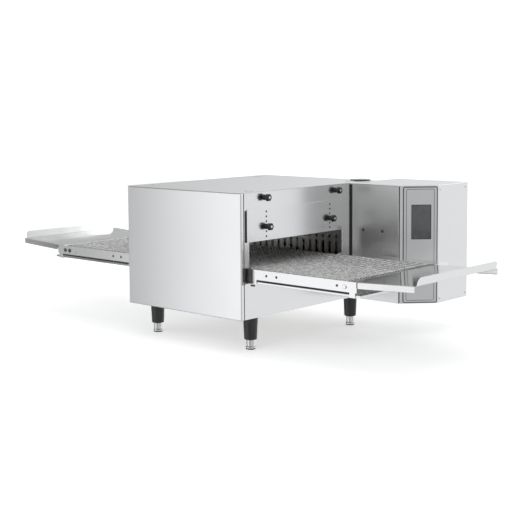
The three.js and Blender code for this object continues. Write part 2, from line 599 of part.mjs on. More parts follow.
function coolingFan() {
  const { x, z, half, hole, front, back } = COOLING;
  const body = box(x - half, x + half, front, back, z - half, z + half);
  const hub = { radius: 13, front: front + 6, back: back - 8, seat: back - 5 };
  const strut = { halfWidth: 3, front: hub.seat, back: back - 2 };
  const ring = cut(body, rod('y', front - 1, back + 1, [x, z], hole, 28));
  const seat = rod('y', hub.seat, strut.back, [x, z], hub.radius, 16);
  const reach = hole + 1;
  const struts = [[reach, strut.halfWidth], [strut.halfWidth, reach]].map(([halfX, halfZ]) => (
    box(x - halfX, x + halfX, strut.front, strut.back, z - halfZ, z + halfZ)));
  piece('cooling_fan_frame', 'blackPlastic', join(ring, seat, ...struts));

  const blades = Array.from({ length: 5 }, (_, i) => {
    const blade = box(hub.radius - 2, hole - 2, -1, 1, -7, 7).rotateX(0.6);
    return blade.rotateY((i * 2 * Math.PI) / 5).translate(x, (hub.front + hub.back) / 2, z);
  });
  const rotorHub = rod('y', hub.front, hub.back, [x, z], hub.radius, 16);
  piece('cooling_fan_rotor', 'blackPlastic', join(rotorHub, ...blades));
}

frontCover();
plates();
endPanels();
baffles();
thumbscrews();
chamber();
jetPlenums();
heatingElement();
circulationFan();
legsAndFeet();
topCap();
rails();
belt();
drive();
chainDrive();
crumbTrays();
exitTrays();
controlBox();
gland();
electronics();
coolingFan();

oven.position.y = -(CONTROL_BOX.back + GLAND_REACH) / 2;

export default oven;
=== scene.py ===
"""The looks of the conveyor pizza oven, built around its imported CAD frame. +Z is up.

X runs along the conveyor, with the control box at +X, and -Y is the front. Lengths are in millimetres until
new_object makes a mesh of them, but the camera and the lamps are placed in metres.
"""

import json
import math
import random
from collections import namedtuple

import bmesh
import bpy
import numpy as np
from mathutils import Matrix, Vector, geometry, noise


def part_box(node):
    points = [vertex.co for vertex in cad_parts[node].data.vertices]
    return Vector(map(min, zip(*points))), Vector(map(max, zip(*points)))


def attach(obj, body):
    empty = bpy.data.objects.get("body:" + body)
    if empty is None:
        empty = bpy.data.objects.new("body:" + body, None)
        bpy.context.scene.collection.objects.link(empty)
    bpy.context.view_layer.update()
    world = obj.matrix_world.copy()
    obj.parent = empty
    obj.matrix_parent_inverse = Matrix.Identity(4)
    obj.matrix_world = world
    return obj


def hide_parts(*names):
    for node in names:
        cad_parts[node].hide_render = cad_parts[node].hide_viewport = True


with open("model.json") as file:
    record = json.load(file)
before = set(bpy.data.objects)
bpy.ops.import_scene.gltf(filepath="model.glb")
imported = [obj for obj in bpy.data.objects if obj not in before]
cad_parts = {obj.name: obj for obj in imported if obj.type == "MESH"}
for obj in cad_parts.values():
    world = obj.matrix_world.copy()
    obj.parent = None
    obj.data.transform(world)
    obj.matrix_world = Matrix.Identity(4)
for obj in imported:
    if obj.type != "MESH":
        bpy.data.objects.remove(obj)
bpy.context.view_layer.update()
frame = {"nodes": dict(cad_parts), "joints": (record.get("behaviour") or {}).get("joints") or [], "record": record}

MM = 0.001
CABINET = "cabinet"
SIDES = (("right", 1), ("left", -1))
CORNERS = [f"{row}_{side}" for row in ("front", "rear") for side in ("left", "right")]


class Span(namedtuple("Span", "x0 x1 y0 y1 z0 z1")):
    """A box. x, y and z are its middle, and dx, dy and dz are its size."""

    x = property(lambda self: (self.x0 + self.x1) / 2)
    y = property(lambda self: (self.y0 + self.y1) / 2)
    z = property(lambda self: (self.z0 + self.z1) / 2)
    dx = property(lambda self: self.x1 - self.x0)
    dy = property(lambda self: self.y1 - self.y0)
    dz = property(lambda self: self.z1 - self.z0)


def to_span(low, high):
    """A box between two corners in metres."""
    return Span(*(corner[axis] / MM for axis in range(3) for corner in (low, high)))


def span(node):
    """The box of a CAD node."""
    return to_span(*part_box(node))


def opening(name):
    """The box of an opening that the record states."""
    row = next(row for row in frame["record"]["physics"]["openings"] if row["name"] == name)
    return to_span(*row["box_m"])


def joint_place(name):
    return Vector(next(joint["pos_m"] for joint in frame["joints"] if joint["name"] == name)) / MM


# ---- Camera, light and floor ----

CAMERA = {"place": (2.5076, -2.8337, 0.7533), "turn": 41.84, "down": 5.03, "roll": -0.35, "lens": 77.8,
          "shift_y": -0.119}


def add_camera():
    data = bpy.data.cameras.new("camera")
    data.lens = CAMERA["lens"]
    data.shift_y = CAMERA["shift_y"]
    data.clip_end = 100
    camera = bpy.data.objects.new("camera", data)
    bpy.context.scene.collection.objects.link(camera)
    turn = Matrix.Rotation(math.radians(CAMERA["turn"]), 4, "Z")
    tip = Matrix.Rotation(math.radians(90 - CAMERA["down"]), 4, "X")
    roll = Matrix.Rotation(math.radians(CAMERA["roll"]), 4, "Z")
    camera.matrix_world = Matrix.Translation(CAMERA["place"]) @ turn @ tip @ roll
    bpy.context.scene.camera = camera


FLOOR = {"flat": 7000, "bend": 3000, "wall": 5000, "steps": 16, "sides": 96}
FLOOR_GLOW = {"floor": 0.42, "backdrop": 0.7}


def add_floor():
    """A pale round floor that curves up into a low wall all round, so that no horizon shows. Neither is
    seen in reflections, which show the studio's light instead."""
    flat, bend = FLOOR["flat"], FLOOR["bend"]
    rise = [(flat, 0.0)]
    for i in range(1, FLOOR["steps"] + 1):
        angle = i * math.pi / 2 / FLOOR["steps"]
        rise.append((flat + bend * math.sin(angle), bend * (1 - math.cos(angle))))
    rise.append((flat + bend, FLOOR["wall"]))
    for name, profile in (("floor", [(0.0, 0.0), (flat, 0.0)]), ("backdrop", rise)):
        material, shader = principled(f"pale_{name}", (0.93, 0.93, 0.93), 0.6)
        shader.inputs["Specular IOR Level"].default_value = 0.2
        shader.inputs["Emission Color"].default_value = (1, 1, 1, 1)
        shader.inputs["Emission Strength"].default_value = FLOOR_GLOW[name]
        obj = new_object(name, *revolve(profile, FLOOR["sides"]))
        shade_smooth(obj)
        obj.data.materials.append(material)
        obj.visible_glossy = False
        obj.visible_diffuse = name == "floor"


# Each lamp's place, its width and depth in metres, and its power in watts. All point at the oven's middle.
LAMPS = {"key": ((1.0, -4.4, 3.4), (3.0, 2.2), 38), "side": ((2.6, 4.6, 2.9), (2.6, 2.2), 32),
         "back": ((-2.6, 3.8, 3.0), (3.0, 2.0), 8), "top": ((0.9, -0.4, 4.4), (3.0, 3.0), 20)}
LAMP_TARGET = Vector((0, 0, 0.3))

# How bright the studio's wall is in each direction, in degrees anticlockwise from +X.
WALL_LIGHT = ((-180, 0.46), (-160, 0.46), (-145, 0.48), (-141, 0.28), (-138.5, 0.08), (-136, 1.28),
              (-127, 1.18), (-118, 1.0), (-95, 0.86), (-66, 0.34), (-50, 0.40), (-33, 0.70), (0, 0.66),
              (30, 0.46), (36, 0.50), (39.5, 1.0), (48, 0.84), (60, 1.04), (75, 0.98), (105, 0.85),
              (118, 0.86), (128, 0.74), (138, 0.56), (150, 0.42), (180, 0.46))
STUDIO = {"top": 0.66, "top_from": 0.35, "top_full": 0.85, "colour": (0.975, 0.985, 1.0, 1)}


def add_lights():
    for name, (place, size, power) in LAMPS.items():
        data = bpy.data.lights.new(name, "AREA")
        data.shape = "RECTANGLE"
        data.size, data.size_y = size
        data.energy = power
        light = bpy.data.objects.new(name, data)
        bpy.context.scene.collection.objects.link(light)
        light.location = place
        light.rotation_euler = (LAMP_TARGET - Vector(place)).to_track_quat("-Z", "Y").to_euler()
    bpy.context.scene.view_settings.view_transform = "Standard"


def add_node(tree, kind, inputs=(), **settings):
    """A new shader node with its settings and the values of some of its inputs."""
    node = tree.nodes.new("ShaderNode" + kind)
    for name, value in settings.items():
        setattr(node, name, value)
    for socket, value in dict(inputs).items():
        node.inputs[socket].default_value = value
    return node


def add_studio():
    """Light from all round, brighter in some directions than in others, as steel needs to look like steel."""
    world = bpy.data.worlds.new("studio")
    world.use_nodes = True
    tree = world.node_tree
    place = add_node(tree, "TexCoord")
    split = add_node(tree, "SeparateXYZ")
    turn = add_node(tree, "Math", operation="ARCTAN2")
    share = add_node(tree, "MapRange", {"From Min": -math.pi, "From Max": math.pi})
    wall = add_node(tree, "ValToRGB")
    stops = wall.color_ramp.elements
    while len(stops) < len(WALL_LIGHT):
        stops.new(0.5)
    for stop, (angle, level) in zip(stops, WALL_LIGHT):
        stop.position = (angle + 180) / 360
        stop.color = (level, level, level, 1)
    rise = add_node(tree, "MapRange", {"From Min": STUDIO["top_from"], "From Max": STUDIO["top_full"]},
                    interpolation_type="SMOOTHSTEP")
    mix = add_node(tree, "Mix", {"B": STUDIO["top"]})
    background = tree.nodes["Background"]
    background.inputs["Color"].default_value = STUDIO["colour"]
    for start, output, end, socket in (
            (place, "Generated", split, 0), (split, "Y", turn, 0), (split, "X", turn, 1), (turn, 0, share, 0),
            (share, 0, wall, 0), (wall, 0, mix, "A"), (split, "Z", rise, 0), (rise, 0, mix, "Factor"),
            (mix, 0, background, "Strength")):
        tree.links.new(start.outputs[output], end.inputs[socket])
    bpy.context.scene.world = world


# ---- Mesh helpers ----


def new_object(name, verts, faces):
    mesh = bpy.data.meshes.new(name)
    mesh.from_pydata([tuple(value * MM for value in v) for v in verts], [], [tuple(f) for f in faces])
    mesh.update()
    obj = bpy.data.objects.new(name, mesh)
    bpy.context.scene.collection.objects.link(obj)
    return obj


def clean(obj):
    """Merges doubled vertices and turns every face outwards."""
    bm = bmesh.new()
    bm.from_mesh(obj.data)
    bmesh.ops.remove_doubles(bm, verts=bm.verts, dist=1e-6)
    bmesh.ops.recalc_face_normals(bm, faces=bm.faces)
    bm.to_mesh(obj.data)
    bm.free()


def shade_smooth(obj, angle=35):
    """Smooth shading that keeps the edges sharper than the angle."""
    mesh = obj.data
    mesh.polygons.foreach_set("use_smooth", [True] * len(mesh.polygons))
    mesh.set_sharp_from_angle(angle=math.radians(angle))


def add_modifier(obj, name, kind, **settings):
    modifier = obj.modifiers.new(name, kind)
    for key, value in settings.items():
        setattr(modifier, key, value)


def soften(obj, width, segments=2):
    add_modifier(obj, "edges", "BEVEL", width=width * MM, segments=segments, limit_method="ANGLE",
                 angle_limit=math.radians(30), harden_normals=True)


def finish_piece(obj, material, body=CABINET, slot=None, replaces=None, smooth=35, edge=0.0):
    """Gives a new piece its shading, its material and the body that it rides on. The slot argument is not used."""
    clean(obj)
    shade_smooth(obj, smooth)
    if edge:
        soften(obj, edge)
    obj.data.materials.append(materials[material])
    if replaces:
        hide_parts(replaces)
    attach(obj, body)
    return obj


def revolve(profile, sides, place=(0, 0, 0), axis="z"):
    """A profile of (radius, distance along the axis) points turned about an axis, as verts and faces."""
    verts, faces, rings = [], [], []
    for radius, along in profile:
        if radius < 1e-4:
            rings.append([len(verts)])
            verts.append((0, 0, along))
            continue
        rings.append(list(range(len(verts), len(verts) + sides)))
        verts += [(a, b, along) for a, b in circle(radius, sides)]
    for low, high in zip(rings, rings[1:]):
        for i in range(sides):
            j = (i + 1) % sides
            if len(low) == 1:
                faces.append((low[0], high[j], high[i]))
            elif len(high) == 1:
                faces.append((low[i], low[j], high[0]))
            else:
                faces.append((low[i], low[j], high[j], high[i]))
    return turn_to(axis, verts, place), faces


def turn_to(axis, verts, place):
    """Points built along +Z, turned so that +Z becomes the axis, and moved to their place."""
    turn = {"z": lambda x, y, z: (x, y, z), "-z": lambda x, y, z: (y, x, -z), "x": lambda x, y, z: (z, x, y),
            "-x": lambda x, y, z: (-z, -x, y), "y": lambda x, y, z: (y, z, x),
            "-y": lambda x, y, z: (-y, -z, x)}[axis]
    return [tuple(a + b for a, b in zip(turn(*v), place)) for v in verts]


def block(x0, x1, y0, y1, z0, z1):
    verts = [(x, y, z) for x in (x0, x1) for y in (y0, y1) for z in (z0, z1)]
    return verts, [(0, 1, 3, 2), (4, 6, 7, 5), (0, 4, 5, 1), (2, 3, 7, 6), (0, 2, 6, 4), (1, 5, 7, 3)]


def circle(radius, sides, at=(0, 0)):
    angles = [2 * math.pi * i / sides for i in range(sides)]
    return [(at[0] + radius * math.cos(a), at[1] + radius * math.sin(a)) for a in angles]


def rectangle(a0, a1, b0, b1):
    return [(a0, b0), (a1, b0), (a1, b1), (a0, b1)]


def rounded_outline(corners, radius, steps=5):
    """A polygon whose corners are replaced by arcs. The radius is one number, or one for each corner."""
    radii = radius if isinstance(radius, (list, tuple)) else [radius] * len(corners)
    points = []
    for i, corner in enumerate(corners):
        here = Vector(corner)
        back = (Vector(corners[i - 1]) - here).normalized()
        ahead = (Vector(corners[(i + 1) % len(corners)]) - here).normalized()
        half = back.angle(ahead) / 2
        reach = radii[i] / math.tan(half)
        centre = here + (back + ahead).normalized() * (radii[i] / math.sin(half))
        start = here + back * reach - centre
        end = here + ahead * reach - centre
        turn = math.atan2(start.x * end.y - start.y * end.x, start.dot(end))
        for k in range(steps + 1):
            c, s = math.cos(turn * k / steps), math.sin(turn * k / steps)
            points.append((centre.x + start.x * c - start.y * s, centre.y + start.x * s + start.y * c))
    return points


def fill(loops):
    """The triangles that fill an outline, the first loop, but not its holes, the other loops."""
    return geometry.tessellate_polygon([[Vector((a, b, 0)) for a, b in loop] for loop in loops])


def plate(outline, holes, low, high, axis="z"):
    """An outline with holes, as a flat plate from low to high along an axis. The outline's two coordinates
    are (x, y) for z, (y, z) for x and (x, z) for y."""
    loops = [list(outline)] + [list(hole) for hole in holes]
    points = [p for loop in loops for p in loop]
    count = len(points)
    build = {"z": lambda a, b, h: (a, b, h), "x": lambda a, b, h: (h, a, b),
             "y": lambda a, b, h: (a, h, b)}[axis]
    verts = [build(a, b, h) for h in (low, high) for a, b in points]
    faces = []
    for triangle in fill(loops):
        faces.append(tuple(triangle))
        faces.append(tuple(count + i for i in reversed(triangle)))
    start = 0
    for loop in loops:
        size = len(loop)
        for i in range(size):
            j = (i + 1) % size
            faces.append((start + i, start + j, count + start + j, count + start + i))
        start += size
    return verts, faces


def stack(rings, sides):
    """The side faces and the two ends of a row of rings that have the same number of points."""
    faces = []
    for ring in range(rings - 1):
        for i in range(sides):
            a, b = ring * sides + i, ring * sides + (i + 1) % sides
            faces.append((a, b, b + sides, a + sides))
    faces.append(tuple(reversed(range(sides))))
    faces.append(tuple((rings - 1) * sides + i for i in range(sides)))
    return faces


def tube(points, radius, sides):
    """A round wire along a list of points, with flat ends."""
    path = np.array(points, float)
    tangents = np.gradient(path, axis=0)
    tangents /= np.linalg.norm(tangents, axis=1)[:, None]
    side = np.array([0.0, 0.0, 1.0]) if abs(tangents[0][2]) < 0.9 else np.array([1.0, 0.0, 0.0])
    verts = []
    for point, tangent in zip(path, tangents):
        side = side - tangent * np.dot(side, tangent)
        side /= np.linalg.norm(side)
        across = np.cross(tangent, side)
        verts += [tuple(point + a * side + b * across) for a, b in circle(radius, sides)]
    return verts, stack(len(path), sides)


def lobed(profile, lobes, sides, place, axis):
    """Like revolve, for a star grip. Each profile point is (radius, distance, share of the lobes' depth)."""
    verts = []
    for radius, along, share in profile:
        for i in range(sides):
            angle = 2 * math.pi * i / sides
            r = radius * (1 - share * (0.5 - 0.5 * math.cos(lobes * angle)))
            verts.append((r * math.cos(angle), r * math.sin(angle), along))
    return turn_to(axis, verts, place), stack(len(profile), sides)


class Parts:
    """The verts and faces of several solids that make one piece."""

    def __init__(self):
        self.verts = []
        self.faces = []

    def add(self, verts, faces):
        start = len(self.verts)
        self.verts += list(verts)
        self.faces += [tuple(start + i for i in face) for face in faces]
        return self

    def turned(self, profile, sides, place, axis="z"):
        return self.add(*revolve(profile, sides, place, axis))

    def plate(self, outline, holes, low, high, axis):
        return self.add(*plate(outline, holes, low, high, axis))

    def block(self, *sides):
        return self.add(*block(*sides))

    def screw(self, place, axis, radius=3.2, height=1.6):
        """A pan head with a cross recess, and the thin washer under it."""
        r, h = radius, height
        self.turned([(0, 0), (r * 1.5, 0), (r * 1.5, 0.35 * h), (r * 1.02, 0.36 * h)], 28, place, axis)
        dome = [(r, 0.3 * h), (r, 0.7 * h), (r * 0.82, 0.95 * h), (r * 0.45, 1.08 * h), (r * 0.42, 0.8 * h),
                (0, 0.75 * h)]
        return self.turned(dome, 28, place, axis)

    def bolt(self, place, axis, across=5.5, height=3.4):
        """A hexagon head on a washer. across is the distance from the middle to a corner."""
        self.turned([(0, 0), (across * 1.25, 0), (across * 1.25, 0.9), (0, 0.9)], 32, place, axis)
        head = [(0, 0.8), (across * 0.96, 0.8), (across, 1.2), (across, height - 0.5),
                (across * 0.9, height), (0, height)]
        return self.turned(head, 6, place, axis)

    def piece(self, name, material, **finish):
        return finish_piece(new_object(name, self.verts, self.faces), material, **finish)


# ---- Materials ----


def principled(name, colour, roughness, metallic=0.0):
    material = bpy.data.materials.new(name)
    material.use_nodes = True
    shader = material.node_tree.nodes["Principled BSDF"]
    shader.inputs["Base Color"].default_value = (*colour, 1)
    shader.inputs["Roughness"].default_value = roughness
    shader.inputs["Metallic"].default_value = metallic
    return material, shader


# Most values of a noise lie between these two.
NOISE_LOW = 0.3
NOISE_HIGH = 0.7


class Surface:
    """A material that noises over the object's own coordinates vary."""

    def __init__(self, name, colour, roughness, metallic=0.0):
        self.material, self.shader = principled(name, colour, roughness, metallic)
        self.tree = self.material.node_tree

    def noise(self, stretch, detail):
        """A noise stretched by three factors, or by one for all three axes. Returns its output."""
        scale = stretch if isinstance(stretch, (list, tuple)) else (stretch,) * 3
        place = add_node(self.tree, "TexCoord")
        mapping = add_node(self.tree, "Mapping", {"Scale": scale})
        texture = add_node(self.tree, "TexNoise", {"Scale": 1.0, "Detail": detail})
        self.tree.links.new(place.outputs["Object"], mapping.inputs["Vector"])
        self.tree.links.new(mapping.outputs["Vector"], texture.inputs["Vector"])
        return texture.outputs["Fac"]

    def colours(self, source, dark, light, low=0.35, high=0.65):
        """Drives the base colour from a noise, between two colours."""
        ramp = add_node(self.tree, "ValToRGB")
        for stop, place, colour in zip(ramp.color_ramp.elements, (low, high), (dark, light)):
            stop.position = place
            stop.color = (*colour, 1)
        self.tree.links.new(source, ramp.inputs["Fac"])
        self.tree.links.new(ramp.outputs["Color"], self.shader.inputs["Base Color"])

    def rough(self, source, low, high):
        """Drives the roughness from a noise, between two values."""
        ramp = add_node(self.tree, "MapRange", {"From Min": NOISE_LOW, "From Max": NOISE_HIGH, "To Min": low,
                                                "To Max": high})
        self.tree.links.new(source, ramp.inputs["Value"])
        self.tree.links.new(ramp.outputs["Result"], self.shader.inputs["Roughness"])

    def bump(self, distance, *sources):
        """Adds one bump after another. Each source is (noise, strength)."""
        last = None
        for source, strength in sources:
            node = add_node(self.tree, "Bump", {"Strength": strength, "Distance": distance})
            self.tree.links.new(source, node.inputs["Height"])
            if last:
                self.tree.links.new(last.outputs["Normal"], node.inputs["Normal"])
            last = node
        self.tree.links.new(last.outputs["Normal"], self.shader.inputs["Normal"])


def tint(tone, *factors):
    """A grey of this tone, with its red, green and blue scaled by one factor, or by three."""
    return tuple(tone * factor for factor in (factors if len(factors) == 3 else factors * 3))


BRUSH_FINE = 1400
BRUSH_LONG = 6


def brushed_steel(name, tone, roughness, along, line):
    """Brushed stainless. The brush lines run across the axis named by along, which is the one that they
    repeat over: z gives level lines on an upright face, and y gives lines along X on a level face."""
    steel = Surface(name, tint(tone, 1), roughness, 1.0)
    lines = steel.noise([BRUSH_FINE if axis == along else BRUSH_LONG for axis in "xyz"], 4)
    haze = steel.noise(5, 3)
    steel.colours(lines, tint(tone, 0.975, 0.98, 0.985), tint(tone, 1.015, 1.01, 1))
    steel.rough(haze, roughness * 0.95, roughness * 1.05)
    steel.bump(0.00006, (lines, line))
    return steel.material


def polished_steel(name, tone, roughness):
    steel = Surface(name, tint(tone, 1), roughness, 1.0)
    haze = steel.noise(9, 4)
    rub = steel.noise((14, 260, 260), 4)
    steel.colours(rub, tint(tone, 0.95), tint(tone, 1.02, 1.02, 1.01))
    steel.rough(haze, roughness * 0.7, roughness * 1.6)
    ripple = steel.noise(7, 1)
    steel.bump(0.0006, (ripple, 0.12), (rub, 0.04))
    return steel.material


def aluminised_steel(name, tone, roughness=0.42):
    """Dull coated sheet with a fine spangle and a few brown heat stains."""
    steel = Surface(name, tint(tone, 1), roughness, 1.0)
    spangle = steel.noise(160, 2)
    stain = steel.noise(11, 5)
    steel.colours(stain, tint(tone, 0.78, 0.74, 0.68), tint(tone, 1, 1, 0.99))
    steel.rough(spangle, roughness * 0.75, roughness * 1.25)
    steel.bump(0.0001, (spangle, 0.2))
    return steel.material


def dark_steel(name, tone=0.16, roughness=0.45):
    steel = Surface(name, tint(tone, 1), roughness, 0.9)
    pits = steel.noise(420, 4)
    oil = steel.noise(30, 3)
    steel.colours(oil, tint(tone, 0.7, 0.66, 0.6), tint(tone, 1.15))
    steel.rough(oil, roughness * 0.7, roughness * 1.3)
    steel.bump(0.0001, (pits, 0.25))
    return steel.material


def belt_wire(name):
    """Drawn stainless wire, bright on its worn spots and dulled by heat and grease between them."""
    wire = Surface(name, (0.7, 0.69, 0.67), 0.34, 1.0)
    heat = wire.noise(95, 5)
    drawn = wire.noise(500, 3)
    wire.colours(heat, (0.58, 0.575, 0.56), (0.98, 0.98, 0.97), 0.36, 0.60)
    wire.rough(drawn, 0.26, 0.46)
    wire.bump(0.00008, (drawn, 0.15))
    return wire.material


def moulded_black(name, tone, roughness, coarse, strength):
    plastic = Surface(name, tint(tone, 1), roughness)
    skin = plastic.noise(coarse, 3)
    dust = plastic.noise(45, 4)
    plastic.colours(dust, tint(tone, 1), tint(tone, 1.7, 1.7, 1.75))
    plastic.rough(dust, roughness * 0.8, roughness * 1.35)
    plastic.bump(0.0001, (skin, strength))
    return plastic.material


def display_glass(name):
    glass = Surface(name, (0.075, 0.077, 0.08), 0.12)
    glass.shader.inputs["Coat Weight"].default_value = 0.6
    glass.shader.inputs["Coat Roughness"].default_value = 0.04
    smear = glass.noise((30, 30, 18), 4)
    glass.colours(smear, (0.068, 0.070, 0.073), (0.088, 0.090, 0.094))
    glass.rough(smear, 0.09, 0.2)
    return glass.material


def circuit_green(name):
    board = Surface(name, (0.02, 0.14, 0.06), 0.35)
    tracks = board.noise((8, 220, 220), 1)
    board.colours(tracks, (0.012, 0.10, 0.04), (0.03, 0.20, 0.085), 0.45, 0.55)
    board.bump(0.0002, (tracks, 0.3))
    return board.material


def mineral_wool(name):
    wool = Surface(name, (0.62, 0.55, 0.36), 0.95)
    fibres = wool.noise((60, 420, 420), 6)
    clumps = wool.noise(35, 5)
    wool.colours(clumps, (0.48, 0.41, 0.24), (0.74, 0.68, 0.50))
    wool.bump(0.0015, (clumps, 0.8), (fibres, 0.7))
    return wool.material


# Black rubber for the foot pads. The same black also paints shade in the strips laid into seams, gaps and holes.
def black_rubber(name):
    rubber = Surface(name, (0.02, 0.02, 0.02), 0.7)
    skin = rubber.noise(600, 4)
    rubber.colours(skin, (0.015, 0.015, 0.015), (0.035, 0.035, 0.035))
    rubber.bump(0.0002, (skin, 0.2))
    return rubber.material


def make_materials():
    return {
        "cover_steel": brushed_steel("front_steel", 0.84, 0.19, "z", 0.05),
        "box_steel": brushed_steel("box_steel", 0.82, 0.34, "z", 0.06),
        "top_steel": brushed_steel("top_steel", 0.80, 0.30, "y", 0.15),
        "panel_steel": brushed_steel("panel_steel", 0.74, 0.33, "z", 0.15),
        "baffle_steel": brushed_steel("baffle_steel", 0.84, 0.22, "z", 0.06),
        "tray_steel": polished_steel("tray_steel", 0.76, 0.09),
        "rail_steel": brushed_steel("rail_steel", 0.86, 0.22, "z", 0.06),
        "foot_steel": brushed_steel("foot_steel", 0.74, 0.18, "z", 0.5),
        "inner_steel": aluminised_steel("inner_steel", 0.58),
        "dark_steel": dark_steel("dark_steel"),
        "belt_wire": belt_wire("belt_wire"),
        "knob_black": moulded_black("knob_black", 0.008, 0.06, 500, 0.02),
        "leg_black": moulded_black("leg_black", 0.016, 0.34, 700, 0.12),
        "fitting_black": moulded_black("fitting_black", 0.02, 0.45, 600, 0.2),
        "display_glass": display_glass("display_glass"),
        "circuit_board": circuit_green("circuit_board"),
        "insulation_wool": mineral_wool("insulation_wool"),
        "rubber": black_rubber("rubber"),
    }


SHEET_EDGE = 0.35
LEVEL_SHEETS = ("top_cover", "control_box_lid", "bottom_plate")


def dress_cad_nodes():
    """Every CAD node that stays gets the procedural material of its slot, and softened edges."""
    for row in frame["record"]["subparts"]:
        obj = frame["nodes"][row["node"]]
        slot = row["material_slot"]
        level = row["node"] in LEVEL_SHEETS and slot == "cover_steel"
        material = materials["top_steel" if level else slot]
        if not obj.material_slots:
            obj.data.materials.append(material)
        for material_slot in obj.material_slots:
            material_slot.material = material
        shade_smooth(obj, 30)
        if not obj.hide_render:
            soften(obj, SHEET_EDGE, 1)


# ---- Cabinet ----


def folded(name, verts, faces, material, fold=2.0, sheet=1.2, **finish):
    """A bent sheet: flat faces that share edges, rounded at the folds and given the sheet's thickness."""
    obj = finish_piece(new_object(name, verts, faces), material, smooth=40, **finish)
    add_modifier(obj, "folds", "BEVEL", width=fold * MM, segments=4, limit_method="ANGLE",
                 angle_limit=math.radians(20))
    add_modifier(obj, "sheet", "SOLIDIFY", thickness=sheet * MM, offset=-1, use_even_offset=True)
    add_modifier(obj, "flat_faces", "WEIGHTED_NORMAL", keep_sharp=True, weight=100)


def end_face(side, s):
    """Where the outside of an end panel is along X."""
    panel = span(f"{side}_end_panel")
    return panel.x1 if s > 0 else panel.x0


def front_cover():
    """A flat pan: its front face and four returns towards the cabinet."""
    at = span("front_cover")
    verts = [(x, y, z) for y in (at.y0, at.y1) for z in (at.z0, at.z1) for x in (at.x0, at.x1)]
    faces = [(0, 1, 3, 2), (0, 4, 5, 1), (1, 5, 7, 3), (3, 7, 6, 2), (2, 6, 4, 0)]
    folded("front_cover_pan", verts, faces, "cover_steel", 3.0, replaces="front_cover")
    # Black strips in the seams between the cover's returns and the end panels: painted shadow of the gaps there.
    seam = Parts()
    for side, s in SIDES:
        face = end_face(side, s)
        x = sorted((face - s * 0.3, face + s * 0.4))
        seam.block(*x, at.y1 - 0.1, at.y1 + 2.4, at.z0 + 1, at.z1 - 1)
    seam.piece("cover_seam_shadow", "rubber")


WOOL = {"columns": 64, "rows": 48, "thin": 1.5, "least": -2, "most": 1.4}


def wool_slab():
    """The blanket behind the front cover, soft and lumpy where nothing presses on it."""
    at = span("front_insulation")
    columns, rows = WOOL["columns"], WOOL["rows"]
    verts, faces = [], []
    for y, out in ((at.y0, -1), (at.y1, 1)):
        for j in range(rows + 1):
            for i in range(columns + 1):
                u, v = i / columns, j / rows
                edge = min(1, 12 * u, 12 * (1 - u), 12 * v, 12 * (1 - v))
                lump = noise.noise(Vector((u * 14, v * 11, y * 0.05)))
                swell = (0.6 + 0.8 * lump) * edge - 1.6 * (1 - edge)
                swell = max(WOOL["least"], min(swell, WOOL["most"]))
                verts.append((at.x0 + u * at.dx, y + out * (swell - WOOL["thin"]), at.z0 + v * at.dz))
    wide = columns + 1
    layer = wide * (rows + 1)
    for j in range(rows):
        for i in range(columns):
            a = j * wide + i
            faces.append((a, a + 1, a + wide + 1, a + wide))
            faces.append(tuple(layer + b for b in (a, a + wide, a + wide + 1, a + 1)))
    border = [(i, 0) for i in range(columns)] + [(columns, j) for j in range(rows)]
    border += [(i, rows) for i in range(columns, 0, -1)] + [(0, j) for j in range(rows, 0, -1)]
    ring = [j * wide + i for i, j in border]
    for a, b in zip(ring, ring[1:] + ring[:1]):
        faces.append((a, layer + a, layer + b, b))
    Parts().add(verts, faces).piece("front_wool", "insulation_wool", replaces="front_insulation", smooth=180)


def top_plugs():
    """A low plug over each leg, where the cover's stacking holes are closed."""
    top = span("top_cover").z1 + 0.05
    profile = [(0, 0), (15, 0), (15, 0.8), (14.2, 1.6), (10, 1.6), (9, 0.56), (0, 0.56)]
    parts = Parts()
    for corner in CORNERS:
        leg = span(f"{corner}_leg")
        parts.turned(profile, 48, (leg.x, leg.y, top))
    parts.piece("top_plugs", "panel_steel", slot="cover_steel")


def vent_cap():
    at = span("top_vent_cap")
    shares = [(0, 0), (0.985, 0), (1, 0.15), (1, 0.5), (0.985, 0.72), (0.93, 0.9), (0.86, 0.97), (0.7, 1),
              (0.66, 0.9), (0.36, 0.9), (0.32, 1), (0, 1)]
    profile = [(at.dx / 2 * a, at.dz * b) for a, b in shares]
    Parts().turned(profile, 72, (at.x, at.y, at.z0)).piece("top_cap", "knob_black", replaces="top_vent_cap")


MOUTH = {"return": 9, "sheet": 1.2, "gap": 2, "post": 2.4}


def mouth_returns():
    """The edges of each end opening are turned in, which leaves a bright strip beside the tunnel, and a
    round post stands behind the rear one."""
    tunnel = opening("oven_tunnel")
    front, back = tunnel.y0 - MOUTH["gap"], tunnel.y1 + MOUTH["gap"]
    height = tunnel.z0 - 1.5, tunnel.z1 + 10
    low, high, r = tunnel.z0 - 1, tunnel.z1 + 9, MOUTH["post"]
    for side, s in SIDES:
        panel = span(f"{side}_end_panel")
        inner = panel.x0 if s > 0 else panel.x1
        x = sorted((inner, inner - s * MOUTH["return"]))
        edges = Parts().block(*x, back, back + MOUTH["sheet"], *height)
        edges.block(*x, front - MOUTH["sheet"], front, *height)
        edges.piece(f"{side}_mouth_returns", "cover_steel", edge=0.3)
        post = Parts().turned([(0, low), (r, low), (r, high), (0, high)], 32, (inner - s * 0.4, back - r, 0))
        post.piece(f"{side}_mouth_post", "rail_steel")


BAFFLE_HOLE = {"radius": 3.2, "screw": 3.3, "pitch": 15, "steps": range(-2, 4)}


